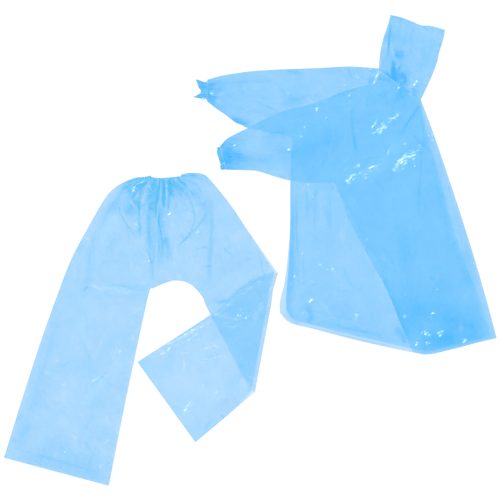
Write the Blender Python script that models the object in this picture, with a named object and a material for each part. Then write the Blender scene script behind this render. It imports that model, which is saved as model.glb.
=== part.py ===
"""Rain suit of thin film, laid flat: a hooded coat folded over along one side, and trousers
with one leg folded up over itself. Every panel is its own thin wall, stacked as it lies.

Sizes are in millimetres until each mesh is made. The origin is on the floor under the
middle of the suit, +X is to the right and +Y towards the hood, seen from above.
"""

from collections import namedtuple
import math

import bpy
import numpy as np

MM = 0.001

# Thickness of the film's wall, and the gaps between walls
WALL = 1.0
SEAM_GAP = 0.3
FOLD_GAP = 1.0

# Heights of the lower faces of the four layers where cloth is folded on cloth
BACK_UNDER = 0.0
FRONT_UNDER = BACK_UNDER + WALL + SEAM_GAP
FRONT_OVER = FRONT_UNDER + WALL + FOLD_GAP
BACK_OVER = FRONT_OVER + WALL + SEAM_GAP
FOLD_AXIS = (BACK_OVER + WALL) / 2
BEND_STEPS = 6

# How far cloth that runs off the layers below it stays up, and how soon it reaches the floor
STAY_UP = 25.0
SETTLE = 60.0

# Gathers: height at the elastic or seam, and how far along the cloth they fade out
CUFF_GATHER, CUFF_FADE = 3.0, 150.0
WAIST_GATHER, WAIST_FADE = 4.0, 260.0
NECK_GATHER, NECK_FADE = 3.0, 120.0

# Long pleats down the coat's right side. The rest are shares of the front's length, hem
# and armhole: where the pleats start and end, how fast they rise and fade, how wide they are.
SIDE_PLEAT = 3.0
SIDE_PLEAT_COUNT = 4
PLEATS_START, PLEATS_END = 0.35, 0.85
PLEATS_RISE, PLEATS_FALL = 0.12, 0.3
PLEATED_HEM, PLEATED_ARMHOLE = 0.22, 0.45

# A slight rise inside a panel that rests on another with other mesh divisions
TOP_LAYER_PILLOW = 1.5

Swell = namedtuple("Swell", "x y length width angle height")
RingSection = namedtuple("RingSection", "along half_width half_height ripple tip")

# Coat, seen from above. Each edge is a row of x, y points in millimetres.
NECK_RIGHT = (451, 636)
NECK_LEFT = (597, 526)
NECK_FOLDED = (524, 581)
COAT_MIDDLE = (600, 0)
RIGHT_ARMPIT = (146, 397)
LEFT_ARMPIT = (296, 236)
COAT_SIDE = [RIGHT_ARMPIT, (140, 246), (139, 83), (131, -22), (121, -106), (104, -180),
             (104, -219)]
COAT_HEM = [(104, -219), (140, -254), (225, -276), (337, -306), (430, -328), (561, -356),
            (622, -365), (701, -348), (785, -326), (862, -307)]
COAT_FOLD = [NECK_LEFT, (642, 405), (690, 265), (736, 125), (780, -15), (821, -155), (862, -307)]
FRONT_SIDE = [RIGHT_ARMPIT, (141, 246), (140, 83), (135, -40), (127, -140), (125, -208)]
FRONT_HEM = [(125, -208), (155, -242), (225, -263), (337, -292), (430, -313), (561, -343),
             (622, -353), (701, -336), (770, -318), (842, -304)]
FRONT_FOLD = [(594, 526), (620, 405), (660, 265), (698, 125), (740, -15), (795, -155),
              (842, -304)]
OVER_SIDE = [LEFT_ARMPIT, (324, 162), (352, 92), (430, -51), (463, -111), (496, -181),
             (524, -254), (569, -356)]
OVER_HEM = [(569, -356), (622, -362), (701, -347), (785, -325), (862, -307)]
FRONT_OVER_SIDE = [LEFT_ARMPIT, (338, 160), (372, 92), (452, -51), (482, -111), (510, -181),
                   (534, -254), (566, -341)]
FRONT_OVER_HEM = [(566, -341), (622, -350), (701, -334), (770, -316), (842, -304)]

# Sleeves: the shoulder edge and the edge under the arm, from the coat to the cuff
RIGHT_SLEEVE_TOP = [NECK_RIGHT, (349, 643), (244, 638), (34, 629), (-89, 613), (-150, 597)]
RIGHT_SLEEVE_UNDER = [RIGHT_ARMPIT, (69, 411), (-8, 428), (-34, 440), (-52, 447), (-87, 474),
                      (-122, 498), (-152, 522)]
LEFT_SLEEVE_TOP = [NECK_FOLDED, (471, 588), (412, 579), (314, 551), (230, 516), (100, 481),
                   (-8, 428), (-41, 412), (-83, 389), (-105, 364)]
LEFT_SLEEVE_UNDER = [LEFT_ARMPIT, (216, 236), (140, 244), (92, 256), (30, 276), (-13, 280),
                     (-84, 282)]

RIGHT_SLEEVE_MIDDLE = (0, 560)
LEFT_SLEEVE_MIDDLE = (0, 380)

# Hood, lying on its side with the face opening to the left
HOOD_FACE = [(491, 824), (477, 776), (464, 735), (455, 692), NECK_RIGHT]
HOOD_UPPER_FACE = [(491, 824), (483, 771), (478, 718), (470, 676), NECK_RIGHT]
HOOD_TOP = [(491, 824), (540, 811), (596, 788), (624, 786), (652, 780), (681, 771)]
HOOD_BACK = [(681, 771), (676, 741), (660, 688), (653, 657), (632, 602), NECK_LEFT]

# Trousers: waist, rise and crotch, then each leg's edges from the waist to the hem
WAIST_RIGHT = (-357, 249)
WAIST_LEFT = (-250, 249)
BULGE_RIGHT = (-372, 257)
BULGE_LEFT = (-240, 266)
RISE_TOP = (-313, 249)
CROTCH = (-341, -133)
RIGHT_LEG_OUTER = [BULGE_RIGHT, (-405, 253), (-447, 236), (-475, 218), (-504, 188), (-554, 104),
                   (-622, -22), (-672, -148), (-732, -316), (-800, -526), (-862, -726)]
RIGHT_LEG_INNER = [CROTCH, (-356, -155), (-403, -370), (-446, -575), (-495, -824)]
LEFT_LEG_OUTER = [BULGE_LEFT, (-209, 271), (-167, 267), (-138, 244), (-70, 160), (-14, 77),
                  (97, -79)]
LEFT_LEG_INNER = [CROTCH, (-304, -117), (-262, -106), (-213, -117), (-169, -161), (-139, -225),
                  (16, -498)]
LEG_FOLD = [(16, -498), (37, -384), (72, -195), (80, -139), (97, -79)]
FLAP_OUTER = [(97, -79), (0, -116), (-66, -165), (-139, -225), (-395, -391)]
FLAP_INNER = [(16, -498), (-69, -568), (-192, -672)]
FRONT_FOLD_INSET = 14.0
RIGHT_LEG_MIDDLE = (-500, 0)
LEFT_LEG_MIDDLE = (-100, 100)

# Largest soft swells of the upper layers, with the angle of their length from +X in degrees
COAT_SWELLS = [
    Swell(x=255, y=20, length=420, width=190, angle=-66, height=3.0),
    Swell(x=330, y=-170, length=300, width=170, angle=-14, height=3.0),
    Swell(x=130, y=520, length=420, width=150, angle=-6, height=3.0),
]
OVER_SWELLS = [
    Swell(x=520, y=330, length=330, width=120, angle=38, height=5.0),
    Swell(x=440, y=250, length=260, width=90, angle=24, height=4.0),
    Swell(x=610, y=60, length=480, width=130, angle=-76, height=5.0),
    Swell(x=690, y=-210, length=260, width=120, angle=-35, height=4.0),
]
LEFT_SLEEVE_SWELLS = [
    Swell(x=230, y=380, length=330, width=150, angle=14, height=5.0),
    Swell(x=20, y=350, length=240, width=90, angle=10, height=4.0),
    Swell(x=370, y=480, length=240, width=110, angle=40, height=4.0),
]
RIGHT_LEG_SWELLS = [
    Swell(x=-470, y=60, length=330, width=110, angle=66, height=5.0),
    Swell(x=-450, y=-150, length=260, width=90, angle=-6, height=5.0),
    Swell(x=-560, y=-290, length=360, width=120, angle=62, height=5.0),
    Swell(x=-520, y=-500, length=300, width=110, angle=48, height=5.0),
    Swell(x=-660, y=-620, length=300, width=110, angle=-25, height=4.0),
]
LEFT_LEG_SWELLS = [
    Swell(x=-205, y=80, length=330, width=90, angle=-72, height=5.0),
    Swell(x=-110, y=20, length=240, width=90, angle=-40, height=4.0),
]
FLAP_SWELLS = [
    Swell(x=-190, y=-400, length=360, width=110, angle=30, height=4.0),
    Swell(x=-110, y=-530, length=230, width=80, angle=40, height=4.0),
]
HOOD_SWELLS = [
    Swell(x=580, y=700, length=170, width=110, angle=70, height=6.0),
]

# Gathered rings of film over elastic, section by section outwards from the cloth's edge
RIGHT_CUFF = [
    RingSection(along=0, half_width=32, half_height=4.0, ripple=0.8, tip=0),
    RingSection(along=6, half_width=27, half_height=4.0, ripple=1.2, tip=0),
    RingSection(along=9, half_width=30, half_height=4.0, ripple=1.2, tip=12),
    RingSection(along=12, half_width=36, half_height=4.0, ripple=1.0, tip=37),
]
LEFT_CUFF = [
    RingSection(along=0, half_width=41, half_height=4.0, ripple=0.8, tip=0),
    RingSection(along=4, half_width=39, half_height=4.0, ripple=1.2, tip=2),
    RingSection(along=8, half_width=40, half_height=4.0, ripple=1.0, tip=10),
]
WAIST = [
    RingSection(along=0, half_width=52, half_height=4.0, ripple=1.0, tip=0),
    RingSection(along=2, half_width=51, half_height=4.0, ripple=1.2, tip=2),
    RingSection(along=3, half_width=52, half_height=4.0, ripple=1.2, tip=10),
]

# How far each ring's frill reaches, as a share of its tip, across the ring from start to stop
RIGHT_CUFF_FRILL = {
    "across": [-1.0, -0.95, -0.7, -0.2, 0.06, 0.3, 0.55, 0.68, 0.76, 0.84, 1.0],
    "reach": [0.65, 0.76, 0.6, 0.46, 0.18, 0.27, 0.7, 1.0, 0.45, 0.0, 0.08],
}
LEFT_CUFF_FRILL = {
    "across": [-1.0, -0.88, -0.6, 0.45, 0.75, 0.92, 1.0],
    "reach": [0.75, 0.3, 0.75, 0.68, 1.0, 0.9, 0.0],
}
WAIST_FRILL = {
    "across": [-1.0, -0.87, -0.72, -0.62, -0.35, 0.1, 0.25, 0.5, 1.0],
    "reach": [0.6, 0.75, 1.0, 0.45, 0.1, 0.05, 0.4, 0.25, 0.6],
}
CUFF_PLEATS = 20
WAIST_PLEATS = 32
RING_SQUARENESS = 0.45

# Mesh divisions: across and along each panel
SLEEVE_ACROSS, SLEEVE_ALONG = 14, 11
LEG_ACROSS, RISE_ALONG, THIGH_ALONG, SHIN_ALONG = 14, 6, 9, 8
BULGE_ACROSS = 2
LEG_CROWDING = 1.3
FLAP_ALONG = 7
COAT_ALONG = 13
HOOD_ACROSS, HOOD_ALONG = 10, 8

# Divisions of the coat's edges at the neck and the armholes, under the fold and over it
BACK_DIVISIONS = {"armhole": 5, "neck": 3, "over_neck": 4, "over_armhole": 6}
FRONT_DIVISIONS = {"armhole": 3, "neck": 4, "over_neck": 2, "over_armhole": 6}

FILM_BLUE = (0.24, 0.60, 1.0, 1.0)
DEEP_BLUE = (0.16, 0.52, 0.98, 1.0)
FILM_ROUGHNESS = 0.3
SMOOTH_ANGLE = 40


def clear_scene():
    for item in list(bpy.data.objects):
        bpy.data.objects.remove(item, do_unlink=True)


def film_material(name, colour):
    material = bpy.data.materials.new(name)
    material.use_nodes = True
    shader = material.node_tree.nodes["Principled BSDF"]
    shader.inputs["Base Color"].default_value = colour
    shader.inputs["Roughness"].default_value = FILM_ROUGHNESS
    shader.inputs["Metallic"].default_value = 0.0
    return material


# Curves and panels

def curve_through(points, samples=24):
    """A close run of points on a smooth curve through the given ones."""
    known = np.array(points, dtype=float)
    if len(known) < 3:
        return known
    ends = np.vstack([2 * known[0] - known[1], known, 2 * known[-1] - known[-2]])
    run = []
    for before, start, stop, after in zip(ends, ends[1:], ends[2:], ends[3:]):
        for t in np.linspace(0, 1, samples, endpoint=False):
            run.append(0.5 * (2 * start + (stop - before) * t
                              + (2 * before - 5 * start + 4 * stop - after) * t ** 2
                              + (3 * start - before - 3 * stop + after) * t ** 3))
    run.append(known[-1])
    return np.array(run)


def at_fractions(points, fractions):
    """Points at these shares of the length of the smooth curve through the given ones."""
    run = curve_through(points)
    steps = np.hypot(*np.diff(run, axis=0).T)
    reached = np.concatenate([[0.0], np.cumsum(steps)]) / steps.sum()
    return np.column_stack([np.interp(fractions, reached, run[:, axis]) for axis in (0, 1)])


def evenly(points, count):
    return at_fractions(points, np.linspace(0, 1, count + 1))


def joined(first, second):
    """Two sampled edges that meet in a corner, as one."""
    return np.vstack([first, second[1:]])


def shares(edge):
    """How far along the edge each point is, from 0 to 1."""
    steps = np.hypot(*np.diff(edge, axis=0).T)
    return np.concatenate([[0.0], np.cumsum(steps)]) / steps.sum()


def patch(near, far, start, stop):
    """A grid of x, y points filled in between four sampled edges.

    Row 0 is near, the last row is far, column 0 is start and the last column is stop.
    """
    rows, columns = len(start), len(near)
    v = np.linspace(0, 1, rows)[:, None, None]
    u = ((shares(near) + shares(far)) / 2)[None, :, None]
    across = (1 - v) * near[None] + v * far[None]
    along = (1 - u) * start[:, None] + u * stop[:, None]
    corners = ((1 - u) * (1 - v) * near[0] + u * (1 - v) * near[-1]
               + (1 - u) * v * far[0] + u * v * far[-1])
    grid = across + along - corners
    assert grid.shape == (rows, columns, 2)
    return grid


def pulled_in(edge, inside, gap=SEAM_GAP / 2):
    """An edge moved sideways by the gap, towards the point given."""
    run = np.gradient(edge, axis=0)
    normal = np.column_stack([-run[:, 1], run[:, 0]])
    normal /= np.hypot(*normal.T)[:, None]
    middle = edge.mean(axis=0)
    side = np.sign(np.dot(normal.mean(axis=0), np.array(inside, dtype=float) - middle))
    return edge + side * gap * normal


def outward_normals(line, inside):
    run = np.gradient(line, axis=0)
    normal = np.column_stack([run[:, 1], -run[:, 0]])
    normal /= np.hypot(*normal.T)[:, None]
    away = line.mean(axis=0) - np.array(inside, dtype=float)
    return normal * np.sign(np.dot(normal.mean(axis=0), away))


# Heights

def swell_height(x, y, swells):
    """Soft mounds that fade to nothing at the ends and sides of each swell."""
    total = np.zeros_like(x)
    for swell in swells:
        turn = math.radians(swell.angle)
        along = (x - swell.x) * math.cos(turn) + (y - swell.y) * math.sin(turn)
        across = (y - swell.y) * math.cos(turn) - (x - swell.x) * math.sin(turn)
        reach = np.hypot(2 * along / swell.length, 2 * across / swell.width)
        total += swell.height * np.cos(np.minimum(reach, 1) * math.pi / 2) ** 2
    return total


def eased(share):
    share = np.clip(share, 0, 1)
    return share * share * (3 - 2 * share)


def distance_beyond(x, y, first, second, side):
    """How far a point is from the line through two points, on the side of a third."""
    run = np.subtract(second, first) / math.dist(first, second)
    normal = np.array([-run[1], run[0]])
    normal *= np.sign(np.dot(normal, np.subtract(side, first)))
    return (x - first[0]) * normal[0] + (y - first[1]) * normal[1]


def left_sleeve_base(x, y):
    """The folded sleeve lies on the coat and the other sleeve, and past them on the floor."""
    beside_coat = RIGHT_ARMPIT[0] - x
    below_sleeve = distance_beyond(x, y, RIGHT_ARMPIT, RIGHT_SLEEVE_UNDER[-2],
                                   side=LEFT_SLEEVE_UNDER[-1])
    past = np.minimum(beside_coat, below_sleeve)
    kept = 1 - eased((past - STAY_UP) / SETTLE)
    return FRONT_OVER * kept + swell_height(x, y, COAT_SWELLS)


def flap_base(x, y):
    """The folded leg lies on the same leg's upper part, and past it on the floor."""
    past = distance_beyond(x, y, LEFT_LEG_INNER[-2], LEFT_LEG_INNER[-1], side=FLAP_OUTER[-1])
    return FRONT_OVER * (1 - eased((past - STAY_UP) / SETTLE))


def gathers(grid, height, fade):
    """Pleats on every second row, highest at column 0 and gone at the fade length."""
    rows = grid.shape[0]
    step = np.hypot(*np.moveaxis(np.diff(grid, axis=1), 2, 0))
    gone = np.concatenate([np.zeros((rows, 1)), np.cumsum(step, axis=1)], axis=1)
    raised = (np.arange(rows) % 2)[:, None]
    return height * raised * (1 - eased(gone / fade))


def pillow(grid):
    """A slight rise that fades to nothing at a panel's edges."""
    across = np.sin(np.linspace(0, math.pi, grid.shape[0]))[:, None]
    along = np.sin(np.linspace(0, math.pi, grid.shape[1]))[None, :]
    return TOP_LAYER_PILLOW * np.sqrt(across * along)


# Solids

def mesh_object(name, points, faces, material):
    """A closed mesh, with its faces turned outwards."""
    if signed_volume(points, faces) < 0:
        faces = [face[::-1] for face in faces]
    mesh = bpy.data.meshes.new(name)
    mesh.from_pydata((points * MM).tolist(), [], faces)
    mesh.materials.append(material)
    mesh.shade_smooth()
    mesh.set_sharp_from_angle(angle=math.radians(SMOOTH_ANGLE))
    item = bpy.data.objects.new(name, mesh)
    bpy.context.scene.collection.objects.link(item)


def signed_volume(points, faces):
    first, second, third = (points[[face[k] for face in faces]] for k in range(3))
    return np.einsum("ij,ij->", first, np.cross(second, third)) / 6


def wall(name, outer, inner, material):
    """A closed wall between two grids of the same shape."""
    rows, columns = outer.shape[:2]
    index = np.arange(rows * columns).reshape(rows, columns)
    shift = rows * columns
    faces = []
    for i in range(rows - 1):
        for j in range(columns - 1):
            a, b = int(index[i, j]), int(index[i, j + 1])
            c, d = int(index[i + 1, j + 1]), int(index[i + 1, j])
            faces += [(a, b, c), (a, c, d)]
            faces += [(shift + a, shift + c, shift + b), (shift + a, shift + d, shift + c)]
    rim = np.concatenate([index[0, :], index[1:, -1], index[-1, -2::-1], index[-2:0:-1, 0]])
    rim = rim.tolist()
    for a, b in zip(rim, rim[1:] + rim[:1]):
        faces += [(b, a, shift + a), (b, shift + a, shift + b)]
    points = np.vstack([outer.reshape(-1, 3), inner.reshape(-1, 3)])
    mesh_object(name, points, faces, material)


def lifted(grid, height):
    return np.dstack([grid, np.broadcast_to(height, grid.shape[:2])])


def flat_panel(name, grid, height, material):
    """A wall on a grid of x, y points, whose lower face is at the height given."""
    wall(name, lifted(grid, height), lifted(grid, height + WALL), material)


def bend(line, normals, radius):
    """The rows of points around a fold, at a radius from its axis, between its two ends."""
    turns = [math.pi * step / BEND_STEPS for step in range(1, BEND_STEPS)]
    columns = []
    for turn in turns:
        plan = line + radius * math.sin(turn) * normals
        columns.append(np.column_stack([plan, np.full(len(line), FOLD_AXIS - radius * math.cos(turn))]))
    return np.stack(columns, axis=1)


def folded_panel(name, under, over, normals, under_height, over_height, material):
    """A wall that runs along the under grid, around the fold and back along the over grid.

    The under grid's last column and the over grid's first one are the fold's axis. The outer
    face is the lower one under the fold and the upper one over it.
    """
    line = under[:, -1]
    outer_radius = FOLD_AXIS - under_height[0, -1]
    outer = np.concatenate([lifted(under, under_height), bend(line, normals, outer_radius),
                            lifted(over, over_height + WALL)], axis=1)
    inner = np.concatenate([lifted(under, under_height + WALL),
                            bend(line, normals, outer_radius - WALL),
                            lifted(over, over_height)], axis=1)
    wall(name, outer, inner, material)


def gathered_ring(name, start, stop, outwards, sections, frill, pleats, material):
    """A flattened ring of pleated film that continues a gathered edge.

    start and stop are the ends of the edge, and the sections follow one another outwards.
    """
    middle = (np.array(start, dtype=float) + stop) / 2
    across = np.subtract(stop, start) / math.dist(start, stop)
    away = np.array([-across[1], across[0]])
    away *= np.sign(np.dot(away, outwards))
    count = 2 * pleats
    turns = np.arange(count) * math.tau / count
    cosine, sine = np.cos(turns), np.sin(turns)
    shape_x = np.sign(cosine) * np.abs(cosine) ** RING_SQUARENESS
    shape_z = np.sign(sine) * np.abs(sine) ** RING_SQUARENESS
    inwards = (np.arange(count) % 2).astype(float)
    reach = np.interp(shape_x, frill["across"], frill["reach"])
    rings = {"outer": [], "inner": []}
    for section in sections:
        for side, depth in (("outer", 0.0), ("inner", WALL)):
            drop = depth + inwards * section.ripple
            x = shape_x * (section.half_width - drop)
            z = section.half_height + shape_z * (section.half_height - drop)
            run = SEAM_GAP + section.along + section.tip * reach
            plan = middle + np.outer(x, across) + np.outer(run, away)
            rings[side].append(np.column_stack([plan, z]))
    loops = rings["outer"] + rings["inner"][::-1]
    points = np.vstack(loops)
    faces = []
    for k in range(len(loops)):
        here, there = k * count, (k + 1) % len(loops) * count
        for i in range(count):
            j = (i + 1) % count
            faces += [(here + i, here + j, there + j), (here + i, there + j, there + i)]
    mesh_object(name, points, faces, material)


# Coat

def side_pleats(grid):
    """Long upright pleats beside the coat's right seam, below the folded sleeve."""
    v = np.linspace(0, 1, grid.shape[0])
    pleated = np.zeros(grid.shape[1])
    pleated[1:2 * SIDE_PLEAT_COUNT:2] = 1
    window = eased((v - PLEATS_START) / PLEATS_RISE) * eased((PLEATS_END - v) / PLEATS_FALL)
    return SIDE_PLEAT * pleated[None, :] * window[:, None]


def pleated_shares(pleated, plain_divisions):
    """Shares of an edge, with close divisions over the pleats and wider ones past them."""
    close = np.linspace(0, pleated, 2 * SIDE_PLEAT_COUNT + 1)
    return np.concatenate([close, np.linspace(pleated, 1, plain_divisions + 1)[1:]])


def right_half_grid(tables, axis_line):
    """The coat's right half, from its side seam to the fold."""
    armhole = at_fractions([RIGHT_ARMPIT, NECK_RIGHT], tables["armhole_shares"])
    neck = evenly([NECK_RIGHT, tuple(axis_line[0])], tables["divisions"]["neck"])
    top = joined(pulled_in(armhole, COAT_MIDDLE), pulled_in(neck, COAT_MIDDLE))
    side = evenly(tables["side"], COAT_ALONG)
    top[0] = side[0]
    stop = axis_line.copy()
    stop[0] = top[-1]
    hem = at_fractions(tables["hem"][:-1] + [tuple(axis_line[-1])], tables["hem_shares"])
    return patch(top, hem, side, stop)


def left_half_grid(tables, axis_line):
    """The coat's left half as it lies over the right one, from the fold to its side seam."""
    neck = evenly([tuple(axis_line[0]), NECK_FOLDED], tables["divisions"]["over_neck"])
    armhole = evenly([NECK_FOLDED, LEFT_ARMPIT], tables["divisions"]["over_armhole"])
    top = joined(neck, pulled_in(armhole, COAT_MIDDLE))
    top[1:-1] = pulled_in(top, COAT_MIDDLE)[1:-1]
    side = evenly(tables["over_side"], COAT_ALONG)
    side[0] = top[-1]
    hem = [tuple(axis_line[-1])] + tables["over_hem"][-2::-1]
    return patch(top, evenly(hem, len(top) - 1), axis_line, side)


def build_coat_panel(name, tables, levels, pleated, top_layer, material):
    """The front or the back: right half on the floor, left half folded over on top."""
    fold_line = evenly(tables["fold"], COAT_ALONG)
    normals = outward_normals(fold_line, inside=NECK_RIGHT)
    axis_line = fold_line - (FOLD_AXIS - levels["under"]) * normals
    under = right_half_grid(tables, axis_line)
    over = left_half_grid(tables, under[:, -1])
    under_height = np.full(under.shape[:2], levels["under"])
    if pleated:
        under_height += swell_height(under[:, :, 0], under[:, :, 1], COAT_SWELLS)
        under_height += side_pleats(under)
    x, y = over[:, :, 0], over[:, :, 1]
    over_height = levels["over"] + swell_height(x, y, COAT_SWELLS)
    if top_layer:
        raised = gathers(np.swapaxes(over, 0, 1), NECK_GATHER, NECK_FADE).T
        raised[:, tables["divisions"]["over_neck"] + 1:] = 0
        over_height += swell_height(x, y, OVER_SWELLS) + raised + pillow(over)
    folded_panel(name, under, over, normals, under_height, over_height, material)


def build_coat_body(material):
    even = BACK_DIVISIONS["armhole"] + BACK_DIVISIONS["neck"] + 1
    back = {"side": COAT_SIDE, "hem": COAT_HEM, "fold": COAT_FOLD, "over_side": OVER_SIDE,
            "over_hem": OVER_HEM, "divisions": BACK_DIVISIONS,
            "hem_shares": np.linspace(0, 1, even),
            "armhole_shares": np.linspace(0, 1, BACK_DIVISIONS["armhole"] + 1)}
    plain = FRONT_DIVISIONS["armhole"]
    front = {"side": FRONT_SIDE, "hem": FRONT_HEM, "fold": FRONT_FOLD,
             "over_side": FRONT_OVER_SIDE, "over_hem": FRONT_OVER_HEM,
             "divisions": FRONT_DIVISIONS,
             "hem_shares": pleated_shares(PLEATED_HEM, plain + FRONT_DIVISIONS["neck"]),
             "armhole_shares": pleated_shares(PLEATED_ARMHOLE, plain)}
    build_coat_panel("coat_back", back, {"under": BACK_UNDER, "over": BACK_OVER},
                     pleated=False, top_layer=True, material=material)
    build_coat_panel("coat_front", front, {"under": FRONT_UNDER, "over": FRONT_OVER},
                     pleated=True, top_layer=False, material=material)


def sleeve_grid(top, under, middle):
    """A sleeve from its armhole to its cuff, with the shoulder edge as row 0."""
    near = evenly(top, SLEEVE_ALONG)
    far = evenly(under, SLEEVE_ALONG)
    seam = pulled_in(evenly([top[0], under[0]], SLEEVE_ACROSS), middle)
    near[0], far[0] = seam[0], seam[-1]
    cuff = evenly([tuple(near[-1]), tuple(far[-1])], SLEEVE_ACROSS)
    return patch(near, far, seam, cuff)


def build_right_sleeve(material):
    grid = sleeve_grid(RIGHT_SLEEVE_TOP, RIGHT_SLEEVE_UNDER, RIGHT_SLEEVE_MIDDLE)
    x, y = grid[:, :, 0], grid[:, :, 1]
    raised = gathers(grid[:, ::-1], CUFF_GATHER, CUFF_FADE)[:, ::-1]
    flat_panel("coat_right_sleeve_back", grid, np.full(x.shape, BACK_UNDER), material)
    height = FRONT_UNDER + swell_height(x, y, COAT_SWELLS) + raised
    flat_panel("coat_right_sleeve_front", grid, height, material)


def build_left_sleeve(material):
    grid = sleeve_grid(LEFT_SLEEVE_TOP, LEFT_SLEEVE_UNDER, LEFT_SLEEVE_MIDDLE)
    x, y = grid[:, :, 0], grid[:, :, 1]
    raised = gathers(grid[:, ::-1], CUFF_GATHER, CUFF_FADE)[:, ::-1]
    base = left_sleeve_base(x, y)
    flat_panel("coat_left_sleeve_front", grid, base, material)
    height = base + WALL + SEAM_GAP + swell_height(x, y, LEFT_SLEEVE_SWELLS) + raised
    flat_panel("coat_left_sleeve_back", grid, height, material)


def hood_grid(face):
    """One side of the hood, from its top to the neck, with the face edge as row 0."""
    near = evenly(face, HOOD_ALONG)
    far = evenly(HOOD_BACK, HOOD_ALONG)
    top = evenly(HOOD_TOP, HOOD_ACROSS)
    neck = pulled_in(evenly([NECK_RIGHT, NECK_LEFT], HOOD_ACROSS), HOOD_TOP[2], gap=2 * SEAM_GAP)
    near[-1], far[-1] = neck[0], neck[-1]
    return patch(near, far, top, neck)


def build_hood(material):
    flat = hood_grid(HOOD_FACE)
    flat_panel("hood_right_side", flat, np.full(flat.shape[:2], BACK_UNDER), material)
    grid = hood_grid(HOOD_UPPER_FACE)
    raised = gathers(grid[:, ::-1], NECK_GATHER, NECK_FADE)[:, ::-1]
    height = FRONT_UNDER + swell_height(grid[:, :, 0], grid[:, :, 1], HOOD_SWELLS) + raised
    flat_panel("hood_left_side", grid, height, material)


def build_cuffs(material):
    gathered_ring("coat_right_cuff", RIGHT_SLEEVE_TOP[-1], RIGHT_SLEEVE_UNDER[-1], (-1, 0),
                  RIGHT_CUFF, RIGHT_CUFF_FRILL, CUFF_PLEATS, material)
    gathered_ring("coat_left_cuff", LEFT_SLEEVE_TOP[-1], LEFT_SLEEVE_UNDER[-1], (-1, 0),
                  LEFT_CUFF, LEFT_CUFF_FRILL, CUFF_PLEATS, material)


# Trousers

def build_right_leg(material):
    along = RISE_ALONG + SHIN_ALONG
    outer = at_fractions(RIGHT_LEG_OUTER, np.linspace(0, 1, along + 1) ** LEG_CROWDING)
    rise = pulled_in(evenly([RISE_TOP, CROTCH], RISE_ALONG), RIGHT_LEG_MIDDLE)
    inner = evenly([tuple(rise[-1])] + RIGHT_LEG_INNER[1:], SHIN_ALONG)
    far = joined(rise, inner)
    waist = joined(evenly([tuple(outer[0]), WAIST_RIGHT], BULGE_ACROSS),
                   evenly([WAIST_RIGHT, tuple(far[0])], LEG_ACROSS - BULGE_ACROSS))
    hem = evenly([tuple(outer[-1]), tuple(far[-1])], LEG_ACROSS)
    grid = patch(outer, far, waist, hem)
    x, y = grid[:, :, 0], grid[:, :, 1]
    flat_panel("trousers_right_leg_back", grid, np.full(x.shape, BACK_UNDER), material)
    height = (FRONT_UNDER + swell_height(x, y, RIGHT_LEG_SWELLS)
              + gathers(grid, WAIST_GATHER, WAIST_FADE))
    flat_panel("trousers_right_leg_front", grid, height, material)


def build_left_leg_panel(name, inset, under_level, over_rise, front, material):
    """One panel of the left leg: waist to fold on the floor, fold to hem over itself.

    The front is the upper panel under the fold and the lower one over it.
    """
    fold_line = evenly(LEG_FOLD, LEG_ACROSS)
    normals = outward_normals(fold_line, inside=CROTCH)
    axis_line = fold_line - (inset + FOLD_AXIS - under_level) * normals
    along = RISE_ALONG + THIGH_ALONG
    rise = pulled_in(evenly([RISE_TOP, CROTCH], RISE_ALONG), LEFT_LEG_MIDDLE)
    thigh = [tuple(rise[-1])] + LEFT_LEG_INNER[1:-1] + [tuple(axis_line[0])]
    near = joined(rise, evenly(thigh, THIGH_ALONG))
    far = evenly(LEFT_LEG_OUTER[:-1] + [tuple(axis_line[-1])], along)
    waist = joined(evenly([tuple(near[0]), WAIST_LEFT], LEG_ACROSS - BULGE_ACROSS),
                   evenly([WAIST_LEFT, tuple(far[0])], BULGE_ACROSS))
    under = patch(near, far, waist, axis_line)
    flap_near = evenly([tuple(axis_line[0])] + FLAP_INNER[1:], FLAP_ALONG)
    flap_far = evenly([tuple(axis_line[-1])] + FLAP_OUTER[1:], FLAP_ALONG)
    hem = evenly([tuple(flap_near[-1]), tuple(flap_far[-1])], LEG_ACROSS)
    over = patch(flap_near, flap_far, axis_line, hem)
    under_height = np.full(under.shape[:2], under_level)
    if front:
        under_height += gathers(under, WAIST_GATHER, WAIST_FADE)
        under_height += swell_height(under[:, :, 0], under[:, :, 1], LEFT_LEG_SWELLS)
    x, y = over[:, :, 0], over[:, :, 1]
    over_height = flap_base(x, y) + over_rise
    if not front:
        over_height += swell_height(x, y, FLAP_SWELLS) + pillow(over)
    folded_panel(name, under, over, normals, under_height, over_height, material)


def build_left_leg(material):
    build_left_leg_panel("trousers_left_leg_back", inset=0.0, under_level=BACK_UNDER,
                         over_rise=WALL + SEAM_GAP, front=False, material=material)
    build_left_leg_panel("trousers_left_leg_front", inset=FRONT_FOLD_INSET,
                         under_level=FRONT_UNDER, over_rise=0.0, front=True, material=material)


def build_waist(material):
    gathered_ring("trousers_waist", WAIST_RIGHT, WAIST_LEFT, (0, 1), WAIST, WAIST_FRILL,
                  WAIST_PLEATS, material)


def main():
    clear_scene()
    film = film_material("film", FILM_BLUE)
    gathered = film_material("gathered_film", DEEP_BLUE)
    build_coat_body(film)
    build_right_sleeve(film)
    build_left_sleeve(film)
    build_hood(film)
    build_cuffs(gathered)
    build_right_leg(film)
    build_left_leg(film)
    build_waist(gathered)


main()
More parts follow.
